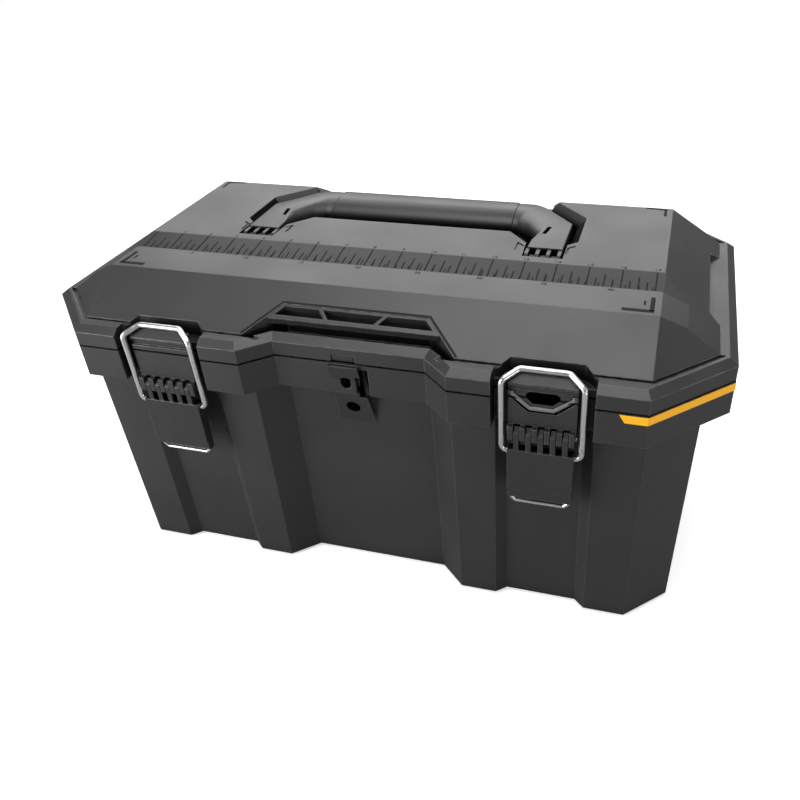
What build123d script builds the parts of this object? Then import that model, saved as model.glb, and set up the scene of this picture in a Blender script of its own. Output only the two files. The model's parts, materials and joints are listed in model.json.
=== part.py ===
"""Toolbox with a lift-out tray: moulded tub, hinged lid, wire-bail latches and a folding handle.

Millimetres. +X runs along the length to the right, +Y to the back and +Z up. The front faces -Y.
The pieces are drawn about the centre of the tub's footprint and written about the middle of the
whole, latches to hinges, on the surface that the box stands on.
"""
import os
from math import cos, pi, sin, tan

from build123d import *

# ---- Shell ---------------------------------------------------------------------------------
wall = 3.0                      # moulded wall of tub and lid
floor = 3.5                     # tub floor
body_gap = 0.3                  # air between pieces that move against each other
pin_play = 0.05                 # radial clearance of every hinge pin in its bore

foot_length = 510.0             # tub at the surface it stands on
foot_depth = 282.0
foot_corner = 33.0
rim_overhang_end = 23.5         # rim beyond the tub's foot, at the ends
rim_overhang = 18.0             # the same at front and back
rim_corner = 56.0               # leg of the 45 degree corners of the rim
foot_bevel = 3.0
draft_slope = 0.023             # outward lean of the tub's walls
tub_top = 221.8                 # parting line
skirt_height = 27.4
skirt_wall = 3.0
skirt_rib = 2.5
skirt_rib_pitch = 46.0

notch_half_mouth = 82.0         # central recess of the front, in rim and tub
notch_half_floor = 60.5
notch_depth = 19.5

# ---- Lid -----------------------------------------------------------------------------------
rim_face_height = 12.1          # upright face of the lid's rim
rim_bevel_height = 4.6
rim_bevel_run = 6.6
rim_band_end = 13.0             # from the rim's edge to the dome's foot, at the ends
rim_band = 17.5                 # the same at front and back
dome_corner = 43.5
deck_height = 30.0              # upper deck over the rim
hip_run = 44.0                  # reach of the slopes in plan: ends, back and front
back_run = 47.0
front_run = 43.0
ledge_width = 37.5
ruler_width = 24.5
ledge_drop = 4.0                # ledge under the deck
facet_run = 20.0                # reach of the step's end facets down the hips
facet_drop = 13.6
line_width = 1.8                # fine grooves in the deck and ledge
line_depth = 1.2
foot_groove_width = 3.6
foot_groove_depth = 2.0
pocket_run = 8.6                # shallow pockets at the foot of both hips
pocket_front = -47.5
pocket_back = 59.5
pocket_flare = 6.0

# ---- Carry handle ----------------------------------------------------------------------------
handle_axis_y = -18.5
knuckle_radius = 7.0
handle_block_inner = 110.0
handle_block_width = 30.0
handle_room = 2.0               # between the handle and the walls of its recess
handle_side_room = 10.0         # the same beside the arms
handle_elbow = 41.0             # from the bar's back to where the arms turn in
handle_pin_radius = 2.0
handle_fingers = 4
handle_finger_width = 3.6
lid_lug_radius = 4.0
handle_slot = (10.8, 18.0, 32.0, 2.6)
handle_proud = 1.0              # handle over the deck when folded
handle_thickness = 15.0
bar_width = 37.0
bar_back = 84.0
finger_gap = 27.5
bar_half_length = 86.0          # grip sleeve, seam to seam
bar_thickness = 19.0
grip_wall = 4.5
grip_edge = 8.0
recess_depth = 26.0
recess_wall = 3.0
recess_slope_run = 7.0          # sloped upper edge of the recess, outside the arms
recess_slope_drop = 8.0

# ---- Latches ---------------------------------------------------------------------------------
latch_inset = 104.5             # from the foot's end to the latch's middle
latch_pin_z = 190.0
latch_pin_radius = 1.6
latch_half_width = 24.2
latch_fingers = 5
comb_radius = 6.7               # over the flats of the comb's fingers
lever_proud = 1.2               # lever's face ahead of the rim's
lever_foot_z = 132.0
lever_thickness = 8.0
lever_slot = 5.0                # room under the tub's fingers
wire_radius = 2.2
bail_pivot_drop = 15.0
bail_half_width = 29.0
bail_bar_z = 246.0
bail_bar_half = 17.5
bail_shoulder_z = 231.0
pull_wire_radius = 1.5
pull_drop = 4.7                 # ring's bar under the lever's foot
pull_slant = 3.5                # its corners are cut by this much
lever_step = 0.8                # foot of the lever's face set back
lever_step_height = 8.5
bay_half_mouth = 38.0
bay_half_floor = 29.5
bay_depth = 7.5
channel_half = 36.5
channel_depth = 13.0
catch_setback = 3.7             # column face behind the rim's face
catch_land = 6.5                # thickness of the lid's catch
catch_bevel_z = 233.2
catch_groove_low = 226.6
catch_groove_high = 231.5
catch_groove_depth = 1.8
tongue_half_top = 23.0          # six-sided tongue of the right catch
tongue_half_foot = 8.5
tongue_foot_z = 213.5
tongue_shoulder_z = 224.0
tongue_thickness = 3.4
tongue_proud = 0.8              # its lower lip in front of the catch
tongue_lean = 2.6               # its upper edge behind the catch's face
tongue_lip = 2.5
tongue_margin = 3.0
tongue_hole = (9.5, 5.5, 218.5, 224.5)
column_core = 10.0              # hollows up the back of the latch columns
column_web = 3.0

# ---- Padlock boss ----------------------------------------------------------------------------
lock_x = -4.0
lock_half_top = 12.0
lock_half_foot = 16.0
lock_top_z = 220.5
lock_foot_z = 158.0
lock_top_y = -143.5
lock_hole_radius = 4.5
lock_upper_z = 203.5
lock_lower_z = 176.0
lock_bore = 17.5
lock_dent_half = 10.0           # shallow dent in the rim over the boss
lock_dent_depth = 1.5
tab_half_width = 8.5
tab_thickness = 3.0
tab_front = -133.0
tab_foot_z = 198.0

# ---- Front grip ------------------------------------------------------------------------------
grip_half_mouth = 85.0
grip_half_top = 58.5
grip_bar_rise = 14.0
grip_rise = 25.8
grip_bar_width = 3.2
grip_strip_width = 1.8
grip_strut_width = 3.4
grip_strut_lean = 3.0           # half the sideways lean of the struts
grip_struts = (-24.0, 22.0)
grip_plate = 4.0
grip_floor_z = 230.0
grip_rib = 2.0
grip_rib_pitch = 4.5

# ---- Rear hinges -----------------------------------------------------------------------------
hinge_inset = 105.0             # from the foot's end to the hinge's middle
hinge_length = 92.0
hinge_radius = 6.5
hinge_offset = 7.5
hinge_pin_radius = 2.5
hinge_knuckles = 3

# ---- Tray ------------------------------------------------------------------------------------
tray_end_room = 4.515           # air between the tray's lip and the tub's end walls
tray_depth = 236.0
tray_corner = 26.0
tray_bottom = 150.3
tray_top = 205.0
tray_wall = 2.4
tray_lean = 0.05                # draft of the tray's walls
tray_edge = 2.2                 # lip round the tray's top, outwards
ledge_reach = 17.0
shelf_half = 102.0
ledge_thickness = 4.0
ledge_rib = 3.0
spine_half = 9.0                # hollow wall along the tray's middle
tray_grip_half = 62.0
tray_grip_rise = 34.0
tray_grip_bar = 10.0
divider_thickness = 2.0
divider_play = 0.2
divider_places = (-150.0, 150.0)

# ---- Accent stripe ---------------------------------------------------------------------------
stripe_height = 6.4
stripe_drop = 1.3               # under the parting line
stripe_gap = 52.5               # from the latch's middle to the stripe's front end
stripe_slant = 0.63             # run of the stripe's diagonal end over its height
stripe_end = 83.0
stripe_play = 0.05
stripe_proud = 0.4
stripe_depth = 1.2

# ---- Derived places --------------------------------------------------------------------------
rim_half_x = foot_length / 2 + rim_overhang_end
latch_x = foot_length / 2 - latch_inset
hinge_x = foot_length / 2 - hinge_inset
stripe_start = latch_x + stripe_gap
tray_half_x = foot_length / 2 + draft_slope * tray_top - wall - tray_end_room - tray_edge
rim_half_y = foot_depth / 2 + rim_overhang
lever_front = rim_half_y + lever_proud
lid_bottom = tub_top + body_gap
rim_face_top = lid_bottom + rim_face_height
rim_top = rim_face_top + rim_bevel_height
deck_z = rim_top + deck_height
ledge_z = deck_z - ledge_drop
skirt_bottom = tub_top - skirt_height
dome_half_x = rim_half_x - rim_band_end
dome_half_y = rim_half_y - rim_band
deck_half_x = dome_half_x - hip_run
deck_back = dome_half_y - back_run
ledge_front = -dome_half_y + front_run
ledge_back = ledge_front + ledge_width
deck_front = ledge_back + ruler_width
bar_front = bar_back - bar_width
handle_block_outer = handle_block_inner + handle_block_width
recess_front = handle_axis_y - knuckle_radius - 1.5
grip_mouth_y = -dome_half_y - 1.0
grip_bar_y = -dome_half_y + grip_bar_rise
grip_top_y = -dome_half_y + grip_rise
handle_axis_z = deck_z - knuckle_radius
recess_floor = deck_z - recess_depth
hinge_y = rim_half_y + hinge_offset
hinge_z = tub_top
latch_pin_y = -lever_front + knuckle_radius
comb_clear = comb_radius / cos(pi / 8) + body_gap
bail_pivot_y = -lever_front + lever_thickness / 2
bail_pivot_z = latch_pin_z - bail_pivot_drop
catch_face = -rim_half_y + catch_setback
bail_bar_y = catch_face - body_gap - wire_radius
above = deck_z + 40.0
mid_y = (hinge_y + hinge_radius - lever_front) / 2   # middle of the whole, latches to hinges


# ---- Outlines and simple solids --------------------------------------------------------------
def outline(half_x, half_y, corner, dents=()):
    """Counter-clockwise octagon; each dent is (centre x, half mouth, half floor, depth) in front."""
    front = [(-half_x + corner, -half_y)]
    for centre, half_mouth, half_floor, depth in dents:
        front += [
            (centre - half_mouth, -half_y),
            (centre - half_floor, -half_y + depth),
            (centre + half_floor, -half_y + depth),
            (centre + half_mouth, -half_y),
        ]
    return front + [
        (half_x - corner, -half_y),
        (half_x, -half_y + corner),
        (half_x, half_y - corner),
        (half_x - corner, half_y),
        (-half_x + corner, half_y),
        (-half_x, half_y - corner),
        (-half_x, -half_y + corner),
    ]


def inset(points, distance):
    """The outline with every side moved inwards by distance, corners kept sharp."""
    moved = []
    for before, here, after in zip(points[-1:] + points[:-1], points, points[1:] + points[:1]):
        along = (Vector(*here) - Vector(*before)).normalized()
        onward = (Vector(*after) - Vector(*here)).normalized()
        normals = Vector(-along.Y - onward.Y, along.X + onward.X)
        reach = distance / (1 + along.dot(onward))
        moved.append((here[0] + normals.X * reach, here[1] + normals.Y * reach))
    return moved


def polygon(points, z=0.0):
    return Face(Wire.make_polygon([(x, y, z) for x, y in points], close=True))


def slab(points, low, high):
    """Upright prism over a plan outline."""
    return Solid.extrude(polygon(points, low), Vector(0, 0, high - low))


def frustum(lower, low, upper, high):
    """Straight-sided solid between two outlines with as many corners."""
    return Solid.make_loft(
        [polygon(lower, low).outer_wire(), polygon(upper, high).outer_wire()], ruled=True
    )


def block(x_range, y_range, z_range):
    """Box between two corners."""
    (x0, x1), (y0, y1), (z0, z1) = x_range, y_range, z_range
    return slab([(x0, y0), (x1, y0), (x1, y1), (x0, y1)], z0, z1)


def rod_x(x_range, y, z, radius):
    """Cylinder along X."""
    x0, x1 = x_range
    plane = Plane(origin=(x0, y, z), z_dir=(1, 0, 0))
    return Solid.make_cylinder(radius, x1 - x0, plane)


def profile_x(points, x_range):
    """Prism along X over a (y, z) profile."""
    x0, x1 = x_range
    face = Face(Wire.make_polygon([(x0, y, z) for y, z in points], close=True))
    return Solid.extrude(face, Vector(x1 - x0, 0, 0))


def knuckle(run, y, z, radius):
    """Eight-sided knuckle about a pin, its flats at the radius."""
    tip = radius * tan(pi / 8)
    ring = [(radius, tip), (tip, radius), (-tip, radius), (-radius, tip)]
    ring += [(-a, -b) for a, b in ring]
    return profile_x([(y + a, z + b) for a, b in ring], run)


def comb_bore(run, y, z, radius):
    """Bore of a comb's fingers, twelve-sided about the radius."""
    reach = radius / cos(pi / 12)
    ring = [(y + reach * cos(i * pi / 6), z + reach * sin(i * pi / 6)) for i in range(12)]
    return profile_x(ring, (run[0] - 0.5, run[1] + 0.5))


def line_groove(points, top):
    """Fine groove cut down from height top along a run of plan points."""
    groove = Part()
    for (x0, y0), (x1, y1) in zip(points[:-1], points[1:]):
        along = Vector(x1 - x0, y1 - y0).normalized() * (line_width / 2)
        side = Vector(-along.Y, along.X)
        ends = (Vector(x0, y0) - along, Vector(x1, y1) + along)
        plan = [ends[0] - side, ends[1] - side, ends[1] + side, ends[0] + side]
        groove += slab([(p.X, p.Y) for p in plan], top - line_depth, top + 3)
    return groove


def mirrored(shape):
    """The same shape on the other end of the box."""
    return shape.mirror(Plane.YZ)


def plane_through(a, b, c, shift=0.0):
    """Plane through three points, its normal upwards, moved down that normal by shift."""
    a, b, c = Vector(*a), Vector(*b), Vector(*c)
    normal = (b - a).cross(c - a).normalized()
    if normal.Z < 0:
        normal = normal * -1
    return Plane(origin=a - normal * shift, z_dir=normal)


def keep_below(shape, planes):
    """What of a shape lies under every plane."""
    for plane in planes:
        shape = split(shape, bisect_by=plane, keep=Keep.BOTTOM)
    return shape


def both_ends(make_plane):
    """A plane for the right end and its mirror image for the left."""
    return [make_plane(1), make_plane(-1)]


notch = (0.0, notch_half_mouth, notch_half_floor, notch_depth)
bays = [(side * latch_x, bay_half_mouth, bay_half_floor, bay_depth) for side in (-1, 1)]
rim_outline = outline(rim_half_x, rim_half_y, rim_corner, [notch])
foot_outline = outline(foot_length / 2, foot_depth / 2, foot_corner, [bays[0], notch, bays[1]])


def tub_outline(z, thickness=0.0):
    """The tub's outer wall at height z, or its inner face a thickness further in."""
    return inset(foot_outline, thickness - draft_slope * z)


# ---- Lid surfaces ----------------------------------------------------------------------------
def dome(shift, low):
    """The lid's dome, with every face moved inwards by shift, standing on height low."""
    plan = inset(outline(dome_half_x, dome_half_y, dome_corner), shift)
    mass = slab(plan, low, above)
    deck = plane_through((0, 0, deck_z), (1, 0, deck_z), (0, 1, deck_z), shift)
    front_foot = dome_half_y - dome_corner
    slopes = [
        deck,
        plane_through((0, ledge_front, ledge_z), (1, ledge_front, ledge_z), (0, -dome_half_y, rim_top), shift),
        plane_through((0, deck_back, deck_z), (1, deck_back, deck_z), (0, dome_half_y, rim_top), shift),
    ]
    slopes += both_ends(lambda s: plane_through(
        (s * deck_half_x, 0, deck_z), (s * deck_half_x, 9, deck_z), (s * dome_half_x, 0, rim_top), shift))
    slopes += both_ends(lambda s: plane_through(
        (s * deck_half_x, ledge_front, ledge_z), (s * (dome_half_x - dome_corner), -dome_half_y, rim_top),
        (s * dome_half_x, -front_foot, rim_top), shift))
    slopes += both_ends(lambda s: plane_through(
        (s * deck_half_x, deck_back, deck_z), (s * (dome_half_x - dome_corner), dome_half_y, rim_top),
        (s * dome_half_x, front_foot, rim_top), shift))
    mass = keep_below(mass, slopes)
    facet_tip = (deck_half_x + facet_run, ledge_back, deck_z - facet_drop)
    step = [plane_through((0, deck_front, deck_z), (1, deck_front, deck_z), (0, ledge_back, ledge_z), shift)]
    step += both_ends(lambda s: plane_through(
        (s * deck_half_x, deck_front, deck_z), (s * deck_half_x, ledge_back, ledge_z),
        (s * facet_tip[0], facet_tip[1], facet_tip[2]), shift))
    terrace = [plane_through((0, 0, ledge_z), (1, 0, ledge_z), (0, 1, ledge_z), shift)]
    terrace += both_ends(lambda s: plane_through(
        (s * deck_half_x, 0, ledge_z), (s * deck_half_x, 9, ledge_z), (s * facet_tip[0], 0, facet_tip[2]), shift))
    return keep_below(mass, step) + keep_below(mass, terrace)


# ---- Lid -------------------------------------------------------------------------------------
recess_side = handle_block_outer + handle_side_room
recess_half = [
    (0.0, bar_front - finger_gap),
    (handle_block_inner - 20.0, bar_front - finger_gap),
    (handle_block_inner - handle_room, handle_axis_y + 17.5),
    (handle_block_inner - 0.5, recess_front),
    (handle_block_outer + handle_room, recess_front),
    (handle_block_outer + handle_room, handle_axis_y + 18.5),
    (recess_side, handle_axis_y + 18.5 + handle_side_room - handle_room),
    (recess_side, bar_back - 24.0),
    (recess_side - 29.0, bar_back + 8.0),
    (recess_side - 29.0, dome_half_y + 8.0),
]
recess_outline = recess_half + [(-x, y) for x, y in recess_half[:0:-1]]
recess_low_half = recess_half[:6] + [
    (recess_side - recess_slope_run, handle_axis_y + 19.5),
    (recess_side - recess_slope_run, bar_back - 26.0),
    (recess_side - 29.0 - recess_slope_run, bar_back + 5.0),
    (recess_side - 29.0 - recess_slope_run, dome_half_y + 8.0),
]
recess_low_outline = recess_low_half + [(-x, y) for x, y in recess_low_half[:0:-1]]
grip_outline = [
    (-grip_half_mouth, grip_mouth_y),
    (grip_half_mouth, grip_mouth_y),
    (grip_half_top, grip_top_y),
    (-grip_half_top, grip_top_y),
]
pocket_inner = dome_half_x - pocket_run
hip_pocket_outline = [
    (pocket_inner, pocket_front),
    (dome_half_x + 1, pocket_front - pocket_run - 1),
    (dome_half_x + 1, pocket_back + pocket_flare + 1),
    (pocket_inner, pocket_back),
]


def catch_pocket(side, grow=0.0):
    """Plan of the pocket behind a latch's catch, widened all round by grow."""
    half = channel_half
    points = [
        (-half, catch_face + catch_land),
        (half, catch_face + catch_land),
        (half, -rim_half_y + channel_depth),
        (half - 10.0, -rim_half_y + channel_depth + 10.0),
        (-half + 10.0, -rim_half_y + channel_depth + 10.0),
        (-half, -rim_half_y + channel_depth),
    ]
    return [(x + side * latch_x, y) for x, y in inset(points, -grow)]


def catch_cuts(low, high):
    """Channels for the bail's legs and the setback of the column between them, on both sides."""
    cuts = []
    front = -rim_half_y - 1.0
    for side in (-1, 1):
        middle = side * latch_x
        for leg in (-1, 1):
            edges = sorted((middle + leg * (latch_half_width + 0.3), middle + leg * channel_half))
            cuts.append(block(edges, (front, -rim_half_y + channel_depth), (low, high)))
        edges = (middle - latch_half_width - 0.5, middle + latch_half_width + 0.5)
        cuts.append(block(edges, (front, catch_face), (low, high)))
    return cuts


def knuckles(x0, x1, count, play, first=None):
    """Alternating runs of a hinge between x0 and x1: even runs and odd runs, play apart.

    All are as wide as each other, unless first gives the width of the even ones.
    """
    outer_count, inner_count = (count + 1) // 2, count // 2
    even = first or (x1 - x0) / count
    odd = (x1 - x0 - outer_count * even) / inner_count
    starts = [x0 + i * (even + odd) for i in range(outer_count)]
    outer_runs = [(x + play / 2, x + even - play / 2) for x in starts]
    inner_runs = [(x + even + play / 2, x + even + odd - play / 2) for x in starts[:inner_count]]
    return outer_runs, inner_runs


def both_sides(x0, x1):
    """A run along X and its mirror image."""
    return [(x0, x1), (-x1, -x0)]


handle_runs, lid_runs = knuckles(
    handle_block_inner, handle_block_outer, 2 * handle_fingers - 1, 2 * body_gap, handle_finger_width
)
tub_hinge_runs, lid_hinge_runs = knuckles(
    hinge_x - hinge_length / 2, hinge_x + hinge_length / 2, hinge_knuckles, 2 * body_gap
)


def mirrored_runs(runs):
    return runs + [(-x1, -x0) for x0, x1 in runs]


def surface_lines():
    """Fine grooves of the deck and the ledge: corner marks and brackets beside the handle."""
    mark_x = deck_half_x - 6.0
    axis = handle_axis_y
    inner = handle_block_inner - 8.2
    outer = handle_block_outer + 3.6
    right = [
        ([(mark_x - 16.5, deck_back - 1.5), (mark_x, deck_back - 3.5), (mark_x, deck_back - 17.5)], deck_z),
        ([(inner, axis + 3.0), (inner, axis + 16.2), (inner + 4.7, axis + 11.3)], deck_z),
        ([(outer, axis + 1.1), (outer, axis + 12.5), (outer + 4.6, axis + 16.7)], deck_z),
        ([(mark_x - 20.0, ledge_front + 6.0), (mark_x, ledge_front + 6.0), (mark_x, ledge_front + 26.5)],
         ledge_z),
    ]
    return right + [([(-x, y) for x, y in points], top) for points, top in right]


def catch_forms():
    """Bevel and groove of both catches."""
    cuts = []
    back = catch_face + catch_land
    front = -rim_half_y - 1.0
    for side in (-1, 1):
        width = (side * latch_x - latch_half_width - 0.4, side * latch_x + latch_half_width + 0.4)
        bevel = [(catch_face, catch_bevel_z), (back, rim_top), (back, rim_top + 5), (front, rim_top + 5),
                 (front, catch_bevel_z)]
        cuts.append(profile_x(bevel, width))
        cuts.append(block(width, (front, catch_face + catch_groove_depth), (catch_groove_low, catch_groove_high)))
    return cuts


def catch_tongue(grow, front, back):
    """Six-sided plate of the right catch in front view, grown all round."""
    half = [
        (tongue_half_top + grow, catch_groove_low + grow),
        (tongue_half_top + grow, tongue_shoulder_z),
        (tongue_half_foot + grow / 2, tongue_foot_z - grow),
    ]
    points = half + [(-x, z) for x, z in half[::-1]]
    return profile_y([(latch_x + x, z) for x, z in points], (front, back))


def tongue_wedge():
    """Tongue of the right catch: its face leans back from a proud lower lip."""
    back = catch_face + tongue_thickness
    section = [
        (catch_face - tongue_proud, tongue_foot_z),
        (back, tongue_foot_z),
        (back, catch_groove_low),
        (catch_face + tongue_lean, catch_groove_low),
        (catch_face - tongue_proud, tongue_foot_z + tongue_lip),
    ]
    wedge = profile_x(section, (latch_x - tongue_half_top, latch_x + tongue_half_top))
    return wedge & catch_tongue(0.0, catch_face - tongue_proud, back)


def lid_shell():
    rim_plan_top = inset(rim_outline, rim_bevel_run)
    outer = slab(rim_outline, lid_bottom, rim_face_top)
    outer += frustum(rim_outline, rim_face_top, rim_plan_top, rim_top)
    outer += dome(0, rim_face_top + 1) & slab(rim_plan_top, rim_face_top + 1, above)

    band = wall + foot_groove_depth
    inner_plan = inset(rim_outline, wall)
    void = slab(inner_plan, lid_bottom - 1, rim_face_top - band)
    void += frustum(inner_plan, rim_face_top - band, inset(inner_plan, rim_bevel_run), rim_top - band)
    void += dome(wall, rim_face_top - band - 1) & slab(
        inset(rim_plan_top, wall), rim_face_top - band - 1, above
    )

    recess = slab(recess_low_outline, recess_floor, above)
    recess += frustum(recess_low_outline, deck_z - recess_slope_drop, recess_outline, deck_z)
    behind_lip = slab(inset(rim_outline, rim_bevel_run + 1.0), grip_floor_z, above)
    cavity = slab(grip_outline, grip_floor_z, above) & behind_lip
    cavity += slab(grip_outline, rim_top, above)
    catches = [slab(catch_pocket(s), lid_bottom + 7.0, above) for s in (-1, 1)]
    hips = slab(hip_pocket_outline, rim_top, above)
    hips = [hips, mirrored(hips)]

    keeps = [slab(inset(recess_outline, -recess_wall), recess_floor - recess_wall, above)]
    keeps.append(slab(inset(grip_outline, -wall - 2.0), grip_floor_z - wall, above))
    keeps += [slab(catch_pocket(s, wall), lid_bottom + 7.0 - wall, above) for s in (-1, 1)]
    pocket_keep = slab(inset(hip_pocket_outline, -wall), rim_top - wall, above)
    keeps += [pocket_keep, mirrored(pocket_keep)]
    columns = block(
        (latch_x - channel_half - wall, latch_x + channel_half + wall),
        (-rim_half_y - 1, -rim_half_y + channel_depth + wall),
        (lid_bottom, above),
    )
    keeps += [columns, mirrored(columns)]

    shell = outer - (void - keeps)
    shell -= [recess, cavity] + catches + hips + catch_cuts(lid_bottom - 1, above)

    groove = slab(inset(outline(dome_half_x, dome_half_y, dome_corner), -foot_groove_width), rim_top
                  - foot_groove_depth, rim_top + 1)
    groove -= slab(outline(dome_half_x, dome_half_y, dome_corner), rim_top - 9, rim_top + 9)
    ends = block((dome_half_x - 0.01, rim_half_x), (-dome_half_y + dome_corner, dome_half_y - dome_corner),
                 (rim_top - 9, rim_top + 9))
    shell -= groove - [ends, mirrored(ends)]
    shell -= [line_groove(points, top) for points, top in surface_lines()]
    shell -= catch_forms()
    shell -= block((lock_x - lock_dent_half, lock_x + lock_dent_half),
                   (-rim_half_y + notch_depth - 1, -rim_half_y + notch_depth + lock_dent_depth),
                   (lid_bottom - 1, lid_bottom + 6))
    for i in (1, 2, 3):
        y = grip_top_y - i * grip_rib_pitch
        shell += block((-grip_half_top, grip_half_top), (y - grip_rib / 2, y + grip_rib / 2),
                       (grip_floor_z - 1, grip_floor_z + grip_rib))
    shell -= catch_tongue(0.0, -rim_half_y - 1, catch_face + tongue_thickness)
    shell += tongue_wedge()
    half_top, half_foot, low, high = tongue_hole
    hole = [(-half_foot, low), (half_foot, low), (half_top, high), (-half_top, high)]
    shell -= profile_y([(latch_x + x, z) for x, z in hole], (catch_face - 1, catch_face + catch_land + 9))

    lugs = []
    for run in mirrored_runs(lid_runs):
        lug = knuckle(run, handle_axis_y, handle_axis_z, lid_lug_radius)
        lug += block(run, (recess_front - 1, handle_axis_y), (handle_axis_z - lid_lug_radius, handle_axis_z))
        lugs.append(lug)
    for run in mirrored_runs(lid_hinge_runs):
        lug = rod_x(run, hinge_y, hinge_z, hinge_radius)
        lug += block(run, (rim_half_y - 1, hinge_y), (lid_bottom, hinge_z + hinge_radius))
        lugs.append(lug)
    shell += lugs
    shell += block((lock_x - tab_half_width, lock_x + tab_half_width),
                   (tab_front, tab_front + tab_thickness), (tab_foot_z, rim_face_top - 2))
    shell += block((lock_x - tab_half_width, lock_x + tab_half_width),
                   (-rim_half_y + notch_depth + 1, tab_front + tab_thickness),
                   (lid_bottom + 3, rim_face_top - 2))

    bores = [comb_bore(run, handle_axis_y, handle_axis_z, handle_pin_radius + pin_play)
             for run in mirrored_runs(lid_runs)]
    bores += [rod_x(run, hinge_y, hinge_z, hinge_pin_radius + pin_play)
              for run in both_sides(hinge_x - hinge_length, hinge_x + hinge_length)]
    shell -= bores
    shell -= Solid.make_cylinder(
        lock_hole_radius, 20, Plane(origin=(lock_x, tab_front - 5, lock_upper_z), z_dir=(0, 1, 0)))
    return shell


# ---- Tub -------------------------------------------------------------------------------------
def skirt_ribs():
    """Upright webs between the skirt and the tub's wall."""
    webs = []
    count = int((rim_half_x - rim_corner) / skirt_rib_pitch)
    for i in range(-count, count + 1):
        x = i * skirt_rib_pitch
        web = (x - skirt_rib / 2, x + skirt_rib / 2)
        webs.append(block(web, (foot_depth / 2, rim_half_y - 1), (skirt_bottom + 2, tub_top - 1)))
        if abs(abs(x) - latch_x) > channel_half + skirt_rib and abs(x) > notch_half_mouth:
            webs.append(block(web, (-rim_half_y + 1, -foot_depth / 2), (skirt_bottom + 2, tub_top - 1)))
    count = int((rim_half_y - rim_corner) / skirt_rib_pitch)
    for i in range(-count, count + 1):
        y = i * skirt_rib_pitch
        web = (y - skirt_rib / 2, y + skirt_rib / 2)
        end = block((foot_length / 2, rim_half_x - 1), web, (skirt_bottom + 2, tub_top - 1))
        webs += [end, mirrored(end)]
    return webs


def lock_boss(shrink=0.0):
    """Wedge in front of the central panel, or its hollow when shrunk."""
    top = lock_half_top - shrink
    foot = lock_half_foot - shrink
    back = -foot_depth / 2 + notch_depth
    slope = (lock_top_y + shrink, -tub_wall_notch(lock_foot_z) + shrink)
    lower = [(-foot, slope[1]), (foot, slope[1]), (foot, back), (-foot, back)]
    upper = [(-top, slope[0]), (top, slope[0]), (top, back), (-top, back)]
    shape = frustum(lower, lock_foot_z, upper, lock_top_z - shrink)
    return shape.moved(Location((lock_x, 0, 0)))


def tub_wall_notch(z):
    """Distance in front of the origin of the central panel at height z."""
    return foot_depth / 2 - notch_depth + draft_slope * z


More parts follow.
